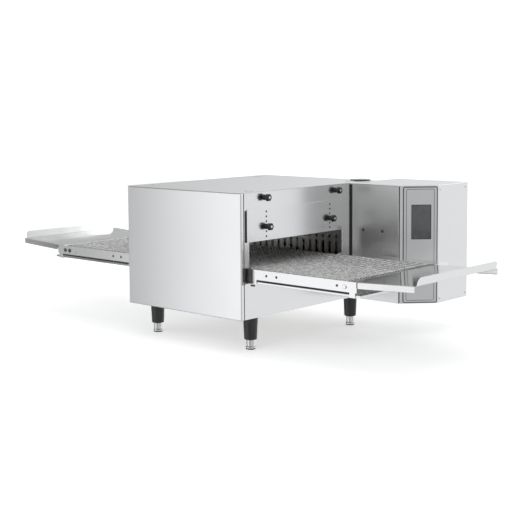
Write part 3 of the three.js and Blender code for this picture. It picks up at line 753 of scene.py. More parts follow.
def baffles():
    """A rounded plate with two rows of holes, black strips behind it that paint shade into the holes, and a black
    strip beside its front edge that paints the shadow of its gap.
    """
    for side, s in SIDES:
        at = span(f"{side}_baffle")
        back = at.x0 if s > 0 else at.x1
        behind = sorted((back, back - s * 0.35))
        holes, hole_shade = [], Parts()
        for row in ("front", "rear"):
            screw = span(f"{side}_lower_{row}_thumbscrew")
            for step in BAFFLE_HOLE["steps"]:
                radius = BAFFLE_HOLE["radius" if step else "screw"]
                holes.append(circle(radius, 24, (screw.y, screw.z + step * BAFFLE_HOLE["pitch"])))
            # A black strip behind each column of holes: painted shade seen through the holes.
            hole_shade.block(*behind, screw.y - 7, screw.y + 7, at.z0 + 3, at.z1 - 3)
        outline = rounded_outline(rectangle(at.y0, at.y1, at.z0, at.z1), 2.5)
        sheet = Parts().plate(outline, holes, at.x0, at.x1, "x")
        sheet.piece(f"{side}_baffle_plate", "baffle_steel", body=f"{side}_baffle", replaces=f"{side}_baffle",
                    edge=0.3)
        hole_shade.piece(f"{side}_baffle_hole_shade", "rubber", body=f"{side}_baffle")
        # A black strip on the end panel along the baffle's front edge: painted shadow of the gap between baffle
        # and panel.
        face = end_face(side, s)
        x = sorted((face + s * 0.05, face + s * 1.6))
        guide = Parts().block(*x, at.y0 - 7, at.y0 - 0.7, at.z0 + 0.5, at.z1 - 4)
        guide.piece(f"{side}_baffle_edge_shadow", "rubber", edge=0.4)


# The screw's shank and collar, the star grip with its share of the lobes, and the stud.
SCREW_COLLAR = [(0, 0), (2.9, 0), (2.9, 5.9), (8.2, 6.1), (8.6, 6.6), (8.6, 7.6), (8.0, 8.3), (5.6, 9.6),
                (5.0, 11.5), (5.0, 15.5), (5.8, 16.4), (0, 16.4)]
SCREW_GRIP = [(7.0, 16.2, 0), (10.6, 16.8, 0.6), (11.8, 18.2, 1), (12.0, 20.5, 1), (11.9, 23.6, 1),
              (11.2, 25.4, 1), (9.9, 26.6, 0.7), (8.4, 27.1, 0.2), (7.4, 27.1, 0), (7.0, 26.6, 0),
              (3.5, 26.6, 0), (1.0, 26.7, 0)]
SCREW_STUD = [(0, 26), (4.2, 26), (4.2, 27.2), (3.4, 27.9), (0, 28.1)]
LOBE_DEPTH = 0.14
SCREW_PLACES = [f"{level}_{row}" for level in ("lower", "upper") for row in ("front", "rear")]


def thumbscrews():
    """Star knobs on a short collar, with a steel stud in the middle of each."""
    grip = [(r, d, LOBE_DEPTH * share) for r, d, share in SCREW_GRIP]
    for side, s in SIDES:
        axis = "x" if s > 0 else "-x"
        for name in SCREW_PLACES:
            node = f"{side}_{name}_thumbscrew"
            at = span(node)
            place = (at.x0 if s > 0 else at.x1, at.y, at.z)
            knob = Parts().turned(SCREW_COLLAR, 32, place, axis).add(*lobed(grip, 6, 72, place, axis))
            knob.piece(f"{node}_knob", "knob_black", body=node, replaces=node, smooth=40)
            stud = Parts().turned(SCREW_STUD, 28, place, axis)
            stud.piece(f"{node}_stud", "foot_steel", body=node, slot="knob_black")


# ---- Legs and feet ----

FOOT = [(0, 3.5), (14.2, 3.5), (15.0, 4.6), (15.0, 8.0), (13.6, 9.6), (12.6, 10.4), (12.4, 13), (12.8, 15),
        (13.2, 16), (13.4, 19), (13.2, 22), (12.7, 23.4), (12.9, 25), (13.2, 27), (13.0, 29.6), (12.4, 30.5),
        (5.1, 30.5), (5.1, 58.5), (4.3, 59.7), (0, 59.7)]
FOOT_PAD = [(0, 0.0), (12.6, 0.0), (14.0, 0.8), (14.6, 2.2), (14.4, 3.45), (0, 3.45)]


def legs_and_feet():
    """Tapered legs, and turned steel feet on a rubber pad."""
    for corner in CORNERS:
        leg = span(f"{corner}_leg")
        low, top = leg.z0, leg.z1
        profile = [(0, low + 30), (7, low + 30), (8, low), (18.4, low), (19.6, low + 0.8), (19.9, low + 2.5),
                   (19.6, low + 5), (19.9, low + 8), (22.4, top - 9), (23.0, top - 4), (23.4, top - 3),
                   (23.4, top), (0, top)]
        centre = (leg.x, leg.y, 0)
        Parts().turned(profile, 64, centre).piece(f"{corner}_leg_body", "leg_black", replaces=f"{corner}_leg")
        body = f"{corner}_foot"
        foot = Parts().turned(FOOT, 56, centre)
        foot.piece(f"{body}_turned", "foot_steel", body=body, replaces=body)
        Parts().turned(FOOT_PAD, 56, centre).piece(f"{body}_pad", "rubber", body=body)


# ---- Conveyor ----


class Loop:
    """The closed line of a belt or a chain round two equal wheels, from the top of the first one."""

    def __init__(self, x0, x1, z, radius):
        self.x0, self.x1, self.z, self.radius = x0, x1, z, radius
        self.straight = x1 - x0
        self.half = self.straight + math.pi * radius
        self.length = 2 * self.half

    def at(self, along):
        """The point (x, z) at a distance along the loop, and the direction that points out of it."""
        back, along = divmod(along % self.length, self.half)
        start, end, way = (self.x1, self.x0, -1.0) if back else (self.x0, self.x1, 1.0)
        if along < self.straight:
            return start + way * along, self.z + way * self.radius, 0.0, way
        angle = way * math.pi / 2 - (along - self.straight) / self.radius
        c, s = math.cos(angle), math.sin(angle)
        return end + self.radius * c, self.z + self.radius * s, c, s


WEAVE = {"pitch": 12.7, "coil": 13.0, "wire": 0.95, "rod": 1.05, "lift": 0.95,
         "edge": 3, "inset": 2}


def woven_belt():
    """A balanced weave: flat coils that run across the belt, each linked to the next by a cross rod."""
    at = span("wire_belt")
    radius = at.dz / 2 - WEAVE["inset"]
    reach = radius + WEAVE["inset"]
    path = Loop(at.x0 + reach, at.x1 - reach, at.z, radius)
    rods = round(path.length / WEAVE["pitch"])
    pitch = path.length / rods
    edge, lift = WEAVE["edge"], WEAVE["lift"]
    turns = int((at.dy - 2 * edge) / WEAVE["coil"])
    step = (at.dy - 2 * edge) / turns
    parts = Parts()
    for i in range(rods):
        here, ahead = path.at(i * pitch), path.at((i + 1) * pitch)
        coil = []
        for k in range(turns):
            for share, (x, z, out_x, out_z), up in ((0.0, here, 1), (0.5, ahead, 1), (0.56, ahead, -1),
                                                    (0.94, here, -1)):
                y = edge + (k + share) * step
                coil.append((x + out_x * lift * up, at.y0 + y if i % 2 else at.y1 - y, z + out_z * lift * up))
        parts.add(*tube(coil, WEAVE["wire"], 4))
        rod = [(here[0], y, here[1]) for y in (at.y0 + 1, at.y1 - 1)]
        parts.add(*tube(rod, WEAVE["rod"], 6))
    obj = new_object("belt_weave", parts.verts, parts.faces)
    obj.data.polygons.foreach_set("use_smooth", [True] * len(obj.data.polygons))
    obj.data.materials.append(materials["belt_wire"])
    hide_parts("wire_belt")
    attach(obj, CABINET)


TRAY = {"reach": 7, "lip": 24, "flange": 16.5, "rise": 8.5, "lip_inset": 9,
        "tongue_inset": 3.4, "corner": 14, "hem": 3, "from_rail": 6, "steps": 8}


def tray_start():
    """How far from the middle the tray's plate begins."""
    return span("front_rail").dx / 2 + TRAY["from_rail"]


def tray_sheet(side, s):
    """One exit tray, bent from a single sheet: the plate, a flange down each side, and a rounded lip that
    leans outwards."""
    at = span(f"{side}_exit_tray")
    inner = tray_start()
    outer = (at.x1 if s > 0 else -at.x0) - TRAY["reach"]
    inner_tongue = at.x0 if s > 0 else -at.x1
    outer_top = at.z1 - TRAY["lip"]
    inner_top = outer_top - TRAY["rise"]
    y0, y1, flange, hem, corner = at.y0, at.y1, TRAY["flange"], TRAY["hem"], TRAY["corner"]
    lip0, lip1 = y0 + TRAY["lip_inset"], y1 - TRAY["lip_inset"]
    tongue0, tongue1 = y0 + TRAY["tongue_inset"], y1 - TRAY["tongue_inset"]
    verts, faces = [], []

    def point(x, y, z):
        verts.append((s * x, y, z))
        return len(verts) - 1

    def lip_point(y, drop):
        height = TRAY["lip"] - drop
        return point(outer + TRAY["reach"] * height / TRAY["lip"], y, outer_top + height)

    a = [point(inner, y, inner_top) for y in (y0, tongue0, tongue1, y1)]
    b = [point(outer, y, outer_top) for y in (y0, lip0, lip1, y1)]
    faces.append((a[0], b[0], b[1], b[2], b[3], a[3], a[2], a[1]))
    tongue = [point(inner_tongue, y, inner_top - 1) for y in (tongue0, tongue1)]
    faces.append((a[1], a[2], tongue[1], tongue[0]))
    for top_in, top_out, y, into in ((a[0], b[0], y0, 1), (a[3], b[3], y1, -1)):
        low_in = point(inner, y, inner_top - flange)
        low_out = point(outer, y, outer_top - flange)
        faces.append((top_in, low_in, low_out, top_out))
        hem_in = point(inner + 2, y + into * hem, inner_top - flange)
        hem_out = point(outer - 2, y + into * hem, outer_top - flange)
        faces.append((low_in, hem_in, hem_out, low_out))
    turns = [i * math.pi / 2 / TRAY["steps"] for i in range(TRAY["steps"] + 1)]
    loop = [b[1], b[2]]
    loop += [lip_point(lip1 - corner * (1 - math.cos(t)), corner * (1 - math.sin(t))) for t in turns]
    loop += [lip_point(lip0 + corner * (1 - math.sin(t)), corner * (1 - math.cos(t))) for t in turns]
    faces.append(tuple(loop))
    return verts, faces


def exit_trays():
    """The bent sheets, with an ear on each side that hangs on the hinge pin."""
    for side, s in SIDES:
        body = f"{side}_exit_tray"
        folded(f"{side}_tray_sheet", *tray_sheet(side, s), "tray_steel", 1.2, 1.0, body=body, replaces=body)
        at = span(body)
        pin = joint_place(f"{side}_exit_tray_tilt")
        x = abs(pin.x)
        top = at.z1 - TRAY["lip"] - TRAY["rise"] - 1.3
        ear = [(x + 3, pin.z - 7), (x + 62, pin.z + 3), (x + 62, top + 1.4),
               (tray_start() + 1, top), (x + 5, pin.z + 6.5), (x - 5, pin.z + 6),
               (x - 6.5, pin.z - 4)]
        outline = rounded_outline([(s * a, b) for a, b in ear][::s], 2)
        hole = circle(3.5, 24, (s * x, pin.z))
        parts = Parts()
        for y in (at.y0 + 3, at.y1 - 4.5):
            parts.plate(outline, [hole], y, y + 1.5, "y")
        parts.piece(f"{side}_tray_ears", "rail_steel", body=body, slot="tray_steel", edge=0.25)


def crumb_trays():
    """A shallow pan under each half of the belt. Its walls end in a hem that is turned in."""
    for side, _ in SIDES:
        node = f"{side}_crumb_tray"
        at = span(node)
        hem = 2.5
        verts = []
        for inset, z in ((0, at.z0), (0, at.z1), (hem, at.z1)):
            ring = rectangle(at.x0 + inset, at.x1 - inset, at.y0 + inset, at.y1 - inset)
            verts += [(x, y, z) for x, y in ring]
        faces = [(3, 2, 1, 0)]
        for i in range(4):
            j = (i + 1) % 4
            faces.append((i, j, 4 + j, 4 + i))
            faces.append((4 + i, 4 + j, 8 + j, 8 + i))
        folded(f"{side}_crumb_pan", verts, faces, "tray_steel", 0.7, 0.7, body=node, replaces=node)


# The bottom of the rails, above the hangers that carry the crumb trays, and the screws' places along a rail.
RAIL_FOOT = 225
RAIL_SCREWS = (329, 290, 67)


def rail_trim():
    """The screws along both rails, the end brackets with their bolts, black strips under the rails that paint the
    shadow of the gap above the crumb trays, and the rail guides.
    """
    screws, bolts = Parts(), Parts()
    axle = joint_place("idler_roller_turn")
    for name, axis, out in (("front", "-y", -1), ("rear", "y", 1)):
        rail, bracket = span(f"{name}_rail"), span(f"{name}_tension_bracket")
        y = (rail.y0 if out < 0 else rail.y1) + out * 0.02
        for from_end in RAIL_SCREWS:
            # the last screw is only at the right end
            for s in (1, -1) if from_end > 100 else (1,):
                place = (s * (rail.dx / 2 - from_end), y, (rail.z1 + RAIL_FOOT) / 2)
                screws.screw(place, axis, 2.6, 1.4)
        for x in (axle.x, axle.x + 23):
            bolts.bolt((x, bracket.y0 if out < 0 else bracket.y1, axle.z), axis)
        outline = rounded_outline(rectangle(bracket.x0, bracket.x1, bracket.z0, bracket.z1), 4)
        slot = rectangle(axle.x - 9, axle.x + 5, axle.z - 3, axle.z + 3)
        sheet = Parts().plate(outline, [rounded_outline(slot, 2.9)], bracket.y0, bracket.y1, "y")
        sheet.piece(f"{name}_tension_plate", "rail_steel", replaces=f"{name}_tension_bracket", edge=0.3)
    screws.piece("rail_screws", "dark_steel", slot="rail_steel")
    rail = span("front_rail")
    for side, s in SIDES:
        face = abs(end_face(side, s))
        reach = sorted((s * (face + 16), rail.x1 - 4 if s > 0 else rail.x0 + 4))
        # A black strip between the rail's bottom and the crumb tray: painted shadow of the gap.
        seal = Parts().block(*reach, rail.y0 + 2.2, rail.y0 + 4,
                             span(f"{side}_crumb_tray").z1 + 0.7, RAIL_FOOT + 0.5)
        seal.piece(f"{side}_rail_shadow_strip", "rubber")
        corners = rectangle(face + 0.3, face + 15, 212, rail.z1 + 0.5)
        outline = rounded_outline([(s * a, b) for a, b in corners][::s], 3)
        guide = Parts().plate(outline, [], rail.y0 - 5, rail.y0 - 0.4, "y")
        catch = sorted((s * (face + 13), s * (face + 27)))
        guide.block(*catch, rail.y0 - 4, rail.y0 + 2, rail.z0 - 6, rail.z0 - 1.5)
        guide.piece(f"{side}_rail_guide", "dark_steel", edge=0.8)
    bolts.piece("tension_bolts", "dark_steel")


# ---- Control box ----

CHAMFER = {"depth": 89, "turn": math.radians(45)}
GRILLE = {"bars": 7, "half": 32, "pitch": 10, "height": 5}
GLAND_HOLE = 8.5
LID_RIM = 4


def box_plan(radii, grow=0.0, left=0.0):
    """The control box's outline in plan, from its front left corner. It grows by grow on its front, right
    and back, and by left on its left."""
    shell = span("control_box_shell")
    depth, skew = CHAMFER["depth"], grow * math.tan(CHAMFER["turn"] / 2)
    corners = [(shell.x0 - left, shell.y0 - grow), (shell.x1 - depth + skew, shell.y0 - grow),
               (shell.x1 + grow, shell.y0 + depth - skew), (shell.x1 + grow, shell.y1 + grow),
               (shell.x0 - left, shell.y1 + grow)]
    return rounded_outline(corners, radii, 6)


def control_box():
    """The bent shell, open at the top and slotted at the back, and the lid that laps over its edge."""
    shell, lid, fan = span("control_box_shell"), span("control_box_lid"), span("cooling_fan_frame")
    gland = span("power_gland")
    outline = box_plan((1.2, 4.5, 4.5, 2.5, 1.2))
    last = max(range(len(outline)), key=lambda i: (outline[i][1] > shell.y1 - 1e-3, outline[i][0]))
    outline = outline[last + 1:] + outline[:last + 1]
    low, high, count = shell.z0, shell.z1, len(outline)
    faces = [(i, i + 1, count + i + 1, count + i) for i in range(count - 1)]
    faces.append(tuple(reversed(range(count))))
    parts = Parts().add([(x, y, z) for z in (low, high) for x, y in outline], faces)
    (x1, y), (x0, _) = outline[-1], outline[0]
    loops = [rectangle(x0, x1, low, high)]
    for i in range(GRILLE["bars"]):
        z = fan.z + (i - (GRILLE["bars"] - 1) / 2) * GRILLE["pitch"]
        slot = rectangle(fan.x - GRILLE["half"], fan.x + GRILLE["half"], z - GRILLE["height"] / 2,
                         z + GRILLE["height"] / 2)
        loops.append(rounded_outline(slot, 2.3))
    loops.append(circle(GLAND_HOLE, 32, (gland.x, gland.z)))
    parts.add([(a, y, b) for loop in loops for a, b in loop], fill(loops))
    folded("box_body", parts.verts, parts.faces, "box_steel", 1.2, slot="cover_steel",
           replaces="control_box_shell")
    edge = box_plan((1.2, 4.8, 4.8, 2.8, 1.2), 0.6, 0.2)
    count = len(edge)
    verts = [(x, y, z) for z in (lid.z1 - LID_RIM, lid.z1) for x, y in edge]
    faces = [(i, (i + 1) % count, count + (i + 1) % count, count + i) for i in range(count)]
    faces.append(tuple(range(count, 2 * count)))
    folded("box_lid", verts, faces, "top_steel", 1.0, 0.5, slot="cover_steel", replaces="control_box_lid")
    # A black strip at the box front's left edge, against the end panel: painted shadow of the seam.
    seal = Parts().block(shell.x0, shell.x0 + 5.5, shell.y0 - 1.8, shell.y0 + 0.2, low + 1,
                         lid.z1 - LID_RIM)
    seal.piece("box_seam_shadow", "rubber", edge=0.4)


def on_chamfer(outline, holes, low, high):
    """A plate on the chamfered face. The outline is (distance along the face, height)."""
    shell = span("control_box_shell")
    c, s = math.cos(CHAMFER["turn"]), math.sin(CHAMFER["turn"])
    corner = shell.x1 - CHAMFER["depth"]
    verts, faces = plate(outline, holes, -high, -low, "y")
    return [(corner + c * x - s * y, shell.y0 + s * x + c * y, z) for x, y, z in verts], faces


# seal is how far the painted-shadow sheet behind the panel reaches past its edge.
PANEL = {"left": 16.5, "right": 122.3, "low": 2.3, "high": 3.6, "seal": 2.8,
         "side": 7.6, "end": 5, "groove": 1.3, "corner": 4, "sheet": (0.3, 1.9)}
DISPLAY = {"from": 40.5, "to": 104.5, "rim": 1.6}


def control_panel():
    """The plate on the chamfered face: a border, a fine groove and the field round the display."""
    at, display = span("control_panel_plate"), span("display_screen")
    corner, groove, seal = PANEL["corner"], PANEL["groove"], PANEL["seal"]

    left, right, low, high = PANEL["left"], PANEL["right"], at.z0 + PANEL["low"], at.z1 - PANEL["high"]

    def panel_outline(side, end, radius):
        return rounded_outline(rectangle(left + side, right - side, low + end, high - end), radius)

    def display_outline(inset, radius):
        edges = (DISPLAY["from"] + inset, DISPLAY["to"] - inset, display.z0 + inset, display.z1 - inset)
        return rounded_outline(rectangle(*edges), radius)

    window = display_outline(1, 1.5)
    side, end = PANEL["side"], PANEL["end"]
    border = on_chamfer(panel_outline(0, 0, corner), [panel_outline(side, end, corner)], *PANEL["sheet"])
    field = on_chamfer(panel_outline(side + groove, end + groove, corner - groove), [window], *PANEL["sheet"])
    sheet = Parts().add(*border).add(*field)
    sheet.piece("control_panel", "panel_steel", replaces="control_panel_plate", edge=0.2)
    # Black sheets behind the panel's rim and in the corner between the box front and the chamfer: painted shadow
    # of the gaps there.
    panel_rim_shadow = on_chamfer(panel_outline(-seal, -seal, corner + seal), [window], 0.1, 0.9)
    chamfer_gap_shadow = on_chamfer(rectangle(0.4, 4.0, at.z0 - 1, at.z1), [], 0.05, 0.8)
    Parts().add(*panel_rim_shadow).add(*chamfer_gap_shadow).piece("panel_shadow_strips", "rubber")
    pane = display_outline(0, 1.5)
    glass = Parts().add(*on_chamfer(pane, [], 0.2, 1.5))
    glass.piece("display_pane", "display_glass", replaces="display_screen", edge=0.3)
    bezel = Parts().add(*on_chamfer(pane, [display_outline(DISPLAY["rim"], 1.0)], 1.4, 2.2))
    bezel.piece("display_bezel", "fitting_black", edge=0.2)


SCREW_INSET = 14
MOTOR_SCREWS = {"x": (300, 376), "z": 331}


def cover_screws():
    """Two screws on the box's front face, and one near each corner of its side, its back and the back
    panel."""
    shell, lid, back = span("control_box_shell"), span("control_box_lid"), span("back_panel")
    dark, bright, inset = Parts(), Parts(), SCREW_INSET
    for x in MOTOR_SCREWS["x"]:
        dark.screw((x, shell.y0, MOTOR_SCREWS["z"]), "-y", 3.6, 2.4)
    dark.piece("motor_screws", "dark_steel")
    for y in (shell.y0 + CHAMFER["depth"] + inset, shell.y1 - inset):
        for z in (shell.z0 + inset, lid.z1 - inset):
            bright.screw((shell.x1, y, z), "x", 2.6, 1.3)
    for box in (shell, back):
        for x in (box.x0 + inset, box.x1 - inset):
            for z in (box.z0 + inset, box.z1 - inset):
                bright.screw((x, box.y1, z), "y", 2.6, 1.3)
    bright.piece("cover_screws", "foot_steel", slot="cover_steel")


def power_gland():
    """A hexagon flange, the ribbed cap that grips the cord, and the threaded end inside the box."""
    at = span("power_gland")
    face = span("control_box_shell").y1 + 0.3
    reach = (at.y1 - face)
    parts = Parts()
    for profile, sides in (([(5.2, 0), (12.4, 0), (13, 0.8), (13, 5.4), (12.2, 6), (5.2, 6), (5.2, 0)], 6),
                           ([(5, 5.5), (10.6, 5.5), (10.6, 8), (9.8, 8.6), (9.6, 12), (8.0, reach - 0.8),
                             (6.8, reach), (5, reach), (5, 5.5)], 48),
                           ([(5, -8), (7.8, -8), (7.8, 0.1), (5, 0.1), (5, -8)], 40)):
        parts.turned(profile, sides, (at.x, face, at.z), "y")
    for a, b in circle(10.4, 18, (at.x, at.z)):
        parts.turned([(0, 5.6), (0.7, 5.6), (0.7, 8), (0, 8)], 8, (a, face, b), "y")
    parts.piece("cable_gland", "fitting_black", replaces="power_gland")


LOUVRE = {"count": 6, "half": 70, "height": 6, "pitch": 16, "low": 245, "out": 5,
          "steps": 6}
# Across a hood: the place as a share of its half width, and how much of its depth it has there.
HOOD = ((-1.05, 0), (-1.0, 0.12), (-0.96, 0.6), (-0.9, 1), (0.9, 1), (0.96, 0.6), (1.0, 0.12), (1.05, 0))


def louvred_back():
    """The back panel, with a pressed hood over each of its slots."""
    at = span("back_panel")
    half, height, steps = LOUVRE["half"], LOUVRE["height"], LOUVRE["steps"]
    holes, hoods = [], Parts()
    for i in range(LOUVRE["count"]):
        low = LOUVRE["low"] + i * LOUVRE["pitch"]
        holes.append(rectangle(-half, half, low, low + height))
        verts, faces = [], []
        for x, share in HOOD:
            for k in range(steps + 1):
                angle = k * math.pi / 2 / steps
                verts.append((x * half, at.y1 + 0.1 + share * LOUVRE["out"] * math.sin(angle),
                              low - 1 + (height + 5) * math.cos(angle)))
        for a in range(len(HOOD) - 1):
            for k in range(steps):
                first = a * (steps + 1) + k
                faces.append((first, first + 1, first + steps + 2, first + steps + 1))
        hoods.add(verts, faces)
    outline = rounded_outline(rectangle(at.x0, at.x1, at.z0, at.z1), 1.5)
    sheet = Parts().plate(outline, holes, at.y0, at.y1, "y")
    sheet.piece("back_sheet", "cover_steel", replaces="back_panel", edge=0.3)
    obj = hoods.piece("louvre_hoods", "cover_steel", smooth=60)
    add_modifier(obj, "sheet", "SOLIDIFY", thickness=0.8 * MM)


# ---- Inside ----


def curved_blade(inner, outer, low, high, lean, bend, thick, turn, sweep=0.0, steps=8):
    """A fan blade that runs outwards from a hub along +Z, leaning and bending as it goes. turn is its place
    round the hub, and sweep shifts its two long edges apart."""
    verts, faces = [], []
    for k in range(steps + 1):
        share = k / steps
        radius = inner + (outer - inner) * share
        angle = turn + lean * share + bend * share * share
        for side in (-1, 1):
            for height, shift in ((low, -sweep), (high, sweep)):
                a = angle + (shift + side * thick / 2) / radius
                verts.append((radius * math.cos(a), radius * math.sin(a), height))
    for k in range(steps):
        a, b = 4 * k, 4 * (k + 1)
        faces += [(a, b, b + 1, a + 1), (a + 2, a + 3, b + 3, b + 2), (a, a + 2, b + 2, b),
                  (a + 1, b + 1, b + 3, a + 3)]
    faces += [(0, 1, 3, 2), (4 * steps, 4 * steps + 2, 4 * steps + 3, 4 * steps + 1)]
    return verts, faces


def add_blades(parts, count, seat, *shape, sweep=0.0):
    """Blades spaced evenly round a hub whose axis is +Y."""
    for i in range(count):
        verts, faces = curved_blade(*shape, 2 * math.pi * i / count, sweep)
        parts.add(turn_to("y", verts, seat), faces)


def circulation_fan():
    """The wheel that drives the hot air: a back plate, curved blades and a ring that ties their ends."""
    at = span("circulation_fan")
    place = (at.x, at.y0, at.z)
    radius, depth, plate_at = at.dx / 2, at.dy, 36.3
    disc = [(0, plate_at), (radius - 1, plate_at), (radius - 0.2, plate_at + 0.8),
            (radius - 1, plate_at + 1.6), (0, plate_at + 1.6)]
    hub = [(0, 13), (10, 13), (13.6, 16), (14, 20), (14, 36), (14, 46.5), (12, 48), (5, 48), (5, depth),
           (0, depth)]
    ring = [(radius - a, b) for a, b in ((14, 0.4), (1.5, 0.4), (1.5, 1.6), (14, 1.6), (14, 0.4))]
    parts = Parts().turned(disc, 64, place, "y").turned(hub, 40, place, "y")
    add_blades(parts, 10, place, 45, radius - 1.5, 1, plate_at + 0.2, 0.35, 0.25, 1.4)
    parts.turned(ring, 64, place, "y")
    parts.piece("fan_wheel", "inner_steel", body="circulation_fan", replaces="circulation_fan", smooth=30)


HEATER = {"ring": 104, "tube": 4, "lead": 24, "steps": 96}


def heater():
    """A round tubular element round the fan, with its two leads through the chamber's wall."""
    at, fan = span("heating_element"), span("circulation_fan")
    x, z, ring, lead = fan.x, fan.z, HEATER["ring"], HEATER["lead"]
    front = at.y0 + HEATER["tube"]
    start = math.asin(lead / ring)
    points = [(x + lead, at.y1 - 0.1, z - ring), (x + lead, front + 22, z - ring),
              (x + lead, front + 9, z - ring), (x + lead * 1.02, front + 2, z - ring + 1)]
    tail = [(2 * x - a, b, c) for a, b, c in reversed(points)]
    for i in range(1, HEATER["steps"]):
        angle = start + (2 * math.pi - 2 * start) * i / HEATER["steps"]
        points.append((x + ring * math.sin(angle), front, z - ring * math.cos(angle)))
    wire = Parts().add(*tube(points + tail, HEATER["tube"] * 0.97, 14))
    wire.piece("heater_tube", "dark_steel", replaces="heating_element", smooth=50)


def ribbed(radius, length, ribs, depth=2.4):
    """The profile of a motor body with rings of cooling fins."""
    root = radius - depth
    profile = [(0, 0), (root, 0), (root, 3)]
    pitch = (length - 8) / ribs
    for i in range(ribs):
        a = 3 + i * pitch
        profile += [(root, a + 0.15 * pitch), (radius, a + 0.25 * pitch), (radius, a + 0.6 * pitch),
                    (root, a + 0.7 * pitch)]
    return profile + [(root, length - 4), (radius - 1, length - 3.6), (radius - 1.6, length), (0, length)]


def motors():
    """The fan's motor on its round flange, and the gear motor: a split gear case with a finned body."""
    at = span("fan_motor")
    flange, seat = at.dx / 2, at.y0 + 3.9
    disc = [(0, 0), (flange - 0.6, 0), (flange, 0.6), (flange, 3.4), (flange - 0.6, 4), (0, 4)]
    parts = Parts().turned(disc, 64, (at.x, at.y0, at.z), "y")
    parts.turned(ribbed(46, at.dy - 3.9, 7), 64, (at.x, seat, at.z), "y")
    for i in range(4):
        angle = math.pi / 4 + i * math.pi / 2
        parts.bolt((at.x + 54 * math.cos(angle), seat, at.z + 54 * math.sin(angle)), "y", 4.5, 3)
    parts.piece("fan_motor_body", "dark_steel", replaces="fan_motor", smooth=30)

    at, sprocket = span("gear_motor"), span("motor_sprocket")
    x, z = sprocket.x, sprocket.z
    half, depth = 30, 42
    seat = at.y0 + depth - 0.1
    parts = Parts()
    case = rounded_outline(rectangle(x - half, x + half, z - half, z + half), 7)
    for inset, y0, y1 in ((0, 0, 12), (1.4, 12, 13.5), (0, 13.5, depth)):
        shape = [(x + (a - x) * (1 - inset / half), z + (b - z) * (1 - inset / half)) for a, b in case]
        parts.plate(shape, [], at.y0 + y0, at.y0 + y1, "y")
    for a in (-1, 1):
        for b in (-1, 1):
            parts.bolt((x + a * 23, seat, z + b * 23), "y", 4.2, 3)
    parts.turned(ribbed(27, (at.y1 - seat), 9, 1.8), 56, (x, seat, z), "y")
    parts.piece("gear_motor_body", "dark_steel", replaces="gear_motor", smooth=30)


def toothed(root, tip, teeth, at, steps=4):
    """A sprocket's outline: round seats for the rollers between narrow teeth."""
    points = []
    for i in range(teeth):
        for k in range(steps * 2 + 1):
            share = k / (steps * 2)
            radius = root + (tip - root) * (1 - math.sin(math.pi * share)) ** 1.3
            angle = (i + 0.06 + 0.8 * share) * 2 * math.pi / teeth
            points.append((at[0] + radius * math.cos(angle), at[1] + radius * math.sin(angle)))
    return points


CHAIN_WHEEL = {"from_end": 7.2, "width": 2.4, "root": 7.2, "tip": 9.1, "teeth": 9}
BELT_WHEEL = {"root": 10.4, "tip": 12.4, "teeth": 8, "hub": 9.5, "bore": 6.25, "side": 2}
# The black arc under the belt's end that paints the shadow of the gap between belt and exit tray: its radius,
# thickness, start and sweep in degrees, and steps.
BELT_END_SHADE = {"radius": 13.1, "sheet": 0.5, "from": -35, "turn": 125, "steps": 18}


def rod_profile(radius, length, chamfer):
    """A round bar with chamfered ends."""
    half = [(0, 0), (radius - chamfer, 0), (radius, chamfer)]
    return half + [(r, length - d) for r, d in reversed(half)]


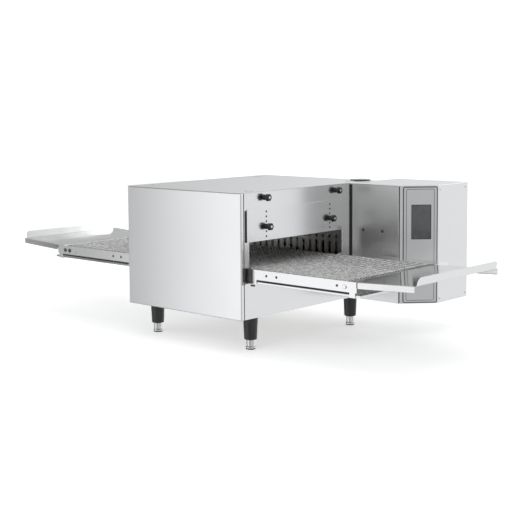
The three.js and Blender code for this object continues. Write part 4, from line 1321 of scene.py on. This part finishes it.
def drive_parts():
    """The shafts, sprockets, idler roller, cross bars and roller chain."""
    shaft, roller, belt = span("drive_shaft"), span("idler_roller"), span("wire_belt")
    x, z = shaft.x, shaft.z
    wheel_front = shaft.y1 - CHAIN_WHEEL["from_end"]
    wheel_back = wheel_front + CHAIN_WHEEL["width"]

    def chain_wheel(parts, x, z):
        teeth = toothed(CHAIN_WHEEL["root"], CHAIN_WHEEL["tip"], CHAIN_WHEEL["teeth"], (x, z))
        return parts.plate(teeth, [], wheel_front, wheel_back, "y")

    spindle = Parts().turned(rod_profile(6, shaft.dy, 0.8), 40, (x, shaft.y0, z), "y")
    chain_wheel(spindle, x, z)
    spindle.piece("drive_spindle", "rail_steel", body="drive_shaft", slot="inner_steel",
                  replaces="drive_shaft", edge=0.2)
    outline = toothed(BELT_WHEEL["root"], BELT_WHEEL["tip"], BELT_WHEEL["teeth"], (x, z))
    hub, bore = circle(BELT_WHEEL["hub"], 40, (x, z)), circle(BELT_WHEEL["bore"], 40, (x, z))
    for name in ("front", "rear"):
        node = f"{name}_drive_sprocket"
        at = span(node)
        y0, y1 = at.y0 + BELT_WHEEL["side"], at.y1 - BELT_WHEEL["side"]
        wheel = Parts().plate(outline, [bore], y0, y1, "y")
        wheel.plate(hub, [bore], at.y0, y0, "y").plate(hub, [bore], y1, at.y1, "y")
        wheel.piece(f"{name}_belt_sprocket", "dark_steel", body="drive_shaft", replaces=node, edge=0.2)
    # A black arc inside the belt's end wrap: painted shadow of the gap between belt and exit tray.
    inner, steps = BELT_END_SHADE["radius"], BELT_END_SHADE["steps"]
    outer = inner + BELT_END_SHADE["sheet"]
    turns = [math.radians(BELT_END_SHADE["from"] + BELT_END_SHADE["turn"] * i / steps) for i in range(steps + 1)]
    section = [(x + inner * math.cos(t), z + inner * math.sin(t)) for t in turns]
    section += [(x + outer * math.cos(t), z + outer * math.sin(t)) for t in reversed(turns)]
    guide = Parts().plate(section, [], belt.y0 + 2, belt.y1 - 2, "y")
    guide.piece("belt_end_shadow", "rubber")
    length = roller.dy
    profile = [(0, 0), (5.4, 0), (6, 0.6), (6, 11), (11.4, 11), (13.4, 13)]
    profile += [(r, length - d) for r, d in reversed(profile)]
    idler = Parts().turned(profile, 48, (roller.x, roller.y0, roller.z), "y")
    idler.piece("idler_tube", "inner_steel", body="idler_roller", replaces="idler_roller")
    for name in ("left", "right"):
        at = span(f"{name}_cross_bar")
        rod = Parts().turned(rod_profile(at.dx / 2, at.dy, 0.6), 36, (at.x, at.y0, at.z), "y")
        rod.piece(f"{name}_cross_rod", "inner_steel", replaces=f"{name}_cross_bar")
    motor = span("motor_sprocket")
    pinion = chain_wheel(Parts(), motor.x, motor.z)
    reach = motor.y1 - wheel_back
    end = [(0, 0), (4, 0), (4, reach - 0.5), (3.5, reach), (0, reach)]
    pinion.turned(end, 32, (motor.x, wheel_back, motor.z), "y")
    pinion.piece("motor_pinion", "dark_steel", body="motor_sprocket", replaces="motor_sprocket", edge=0.2)
    roller_chain(Loop(motor.x, x, motor.z, CHAIN["radius"]), wheel_front + CHAIN_WHEEL["width"] / 2)


CHAIN = {"radius": 10.6, "pitch": 8.2, "end": 1.5, "plate": 0.45}


def roller_chain(loop, y):
    """Pairs of round-ended link plates and their rollers along the loop between the two chain wheels."""
    links = 2 * round(loop.length / (2 * CHAIN["pitch"]))
    step = loop.length / links
    end = CHAIN["end"]
    fan = [-math.pi / 2 + k * math.pi / 6 for k in range(7)]
    parts = Parts()
    for i in range(links):
        a, b = Vector(loop.at(i * step)[:2]), Vector(loop.at((i + 1) * step)[:2])
        angle = math.atan2(b.y - a.y, b.x - a.x)
        outline = [(p.x + way * end * math.cos(angle + t), p.y + way * end * math.sin(angle + t))
                   for p, way in ((b, 1), (a, -1)) for t in fan]
        gap = (1.5 if i % 2 else 2.0)
        for side in (-1, 1):
            low, high = sorted((y + side * gap, y + side * (gap + CHAIN["plate"])))
            parts.plate(outline, [], low, high, "y")
        parts.turned([(0, -2.4), (1.1, -2.4), (1.1, 2.4), (0, 2.4)], 12, (a.x, y, a.y), "y")
    parts.piece("chain_links", "dark_steel", replaces="drive_chain", smooth=30)


def cooling_fan():
    """The fan's square frame, with the hub and the struts that carry it, and its rotor."""
    at, rotor = span("cooling_fan_frame"), span("cooling_fan_rotor")
    hole, bolt = 37, 33
    square = rounded_outline(rectangle(at.x0, at.x1, at.z0, at.z1), 4)
    holes = [circle(hole, 64, (at.x, at.z))]
    holes += [circle(2.2, 16, (at.x + a * bolt, at.z + b * bolt)) for a in (-1, 1) for b in (-1, 1)]
    parts = Parts()
    for y0, y1 in ((at.y0, at.y0 + 4), (at.y1 - 4, at.y1)):
        parts.plate(square, holes, y0, y1, "y")
    outside = hole + 1.6
    ring = [(hole, 0), (outside, 0), (outside, at.dy), (hole, at.dy), (hole, 0)]
    seat = (at.x, at.y1 - 7, at.z)
    parts.turned(ring, 64, (at.x, at.y0, at.z), "y").turned([(0, 0), (13, 0), (13, 5), (0, 5)], 40, seat, "y")
    add_blades(parts, 4, seat, 12, hole + 1, 1, 4.5, 0.3, 0.2, 4)
    parts.piece("cooling_fan_body", "fitting_black", replaces="cooling_fan_frame", edge=0.3)
    hub = [(0, 0), (11.5, 0), (13, 1.5), (13, rotor.dy), (0, rotor.dy)]
    seat = (at.x, rotor.y0, at.z)
    blades = Parts().turned(hub, 40, seat, "y")
    add_blades(blades, 7, seat, 12, hole - 2.2, 1.5, rotor.dy - 1, 0.25, 0.3, 1.2,
               sweep=4.5)
    blades.piece("cooling_fan_blades", "fitting_black", body="cooling_fan_rotor",
                 replaces="cooling_fan_rotor", smooth=30)


JET = {"rows": 4, "pitch_x": 100, "pitch_y": 105, "first": 73}
JET_COLLAR = [(10, 0), (12.4, 0), (12.4, 0.6), (10.8, 1), (10.8, 2.6), (10, 2.6), (10, 0)]


def jet_collars():
    """A short collar round each jet of the two air boxes."""
    parts = Parts()
    for name, axis in (("upper", "-z"), ("lower", "z")):
        at = span(f"{name}_jet_plenum")
        for column in range(JET["rows"]):
            for row in range(JET["rows"]):
                place = ((column - (JET["rows"] - 1) / 2) * JET["pitch_x"],
                         at.y0 + JET["first"] + row * JET["pitch_y"], at.z1 if axis == "z" else at.z0)
                parts.turned(JET_COLLAR, 28, place, axis)
    parts.piece("jet_collars", "inner_steel")


# Relays and chips: their places as shares of the board, and their half sizes and heights.
BOARD_BLOCKS = ((0.43, 0.83, 20, 20, 28), (0.77, 0.82, 17, 17, 22), (0.24, 0.33, 16, 18, 16),
                (0.68, 0.2, 30, 11, 11), (0.6, 0.55, 9, 14, 5), (0.85, 0.5, 7, 7, 4))
BOARD = {"sheet": 1.6, "inset": 5, "cans": 10}


def board_parts():
    """The control board with its relays, chips and capacitors."""
    at = span("control_board")
    face, inset = at.x0 + BOARD["sheet"], BOARD["inset"]
    outline = rounded_outline(rectangle(at.y0, at.y1, at.z0, at.z1), 2)
    holes = [circle(1.8, 16, (y, z)) for y in (at.y0 + inset, at.y1 - inset)
             for z in (at.z0 + inset, at.z1 - inset)]
    sheet = Parts().plate(outline, holes, at.x0, face, "x")
    sheet.piece("board_sheet", "circuit_board", replaces="control_board", edge=0.15)
    blocks = Parts()
    for y, z, *sizes in BOARD_BLOCKS:
        half_y, half_z, rise = sizes
        y, z = at.y0 + y * at.dy, at.z0 + z * at.dz
        blocks.block(face, face + rise, y - half_y, y + half_y, z - half_z, z + half_z)
    blocks.piece("board_blocks", "fitting_black", slot="circuit_board", edge=0.8)
    cans = Parts()
    rng = random.Random(7)
    for i in range(BOARD["cans"]):
        r, rise = rng.uniform(3, 6), rng.uniform(8, 15)
        place = (face, at.y0 + (0.12 + 0.085 * i) * at.dy, at.z0 + (0.62 if i % 2 else 0.06) * at.dz)
        can = [(0, 0), (r, 0), (r, 1), (r * 0.93, 1.4), (r, 1.9), (r, rise - 0.6),
               (r - 0.6, rise), (0, rise)]
        cans.turned(can, 28, place, "x")
    cans.piece("board_cans", "foot_steel", slot="circuit_board")


materials = make_materials()
for build in (add_camera, add_floor, add_lights, add_studio, front_cover, wool_slab, top_plugs, vent_cap,
              mouth_returns, baffles, thumbscrews, legs_and_feet, woven_belt, exit_trays, crumb_trays,
              rail_trim, control_box, control_panel, cover_screws, power_gland, louvred_back,
              circulation_fan, heater, motors, drive_parts, cooling_fan, jet_collars, board_parts,
              dress_cad_nodes):
    build()
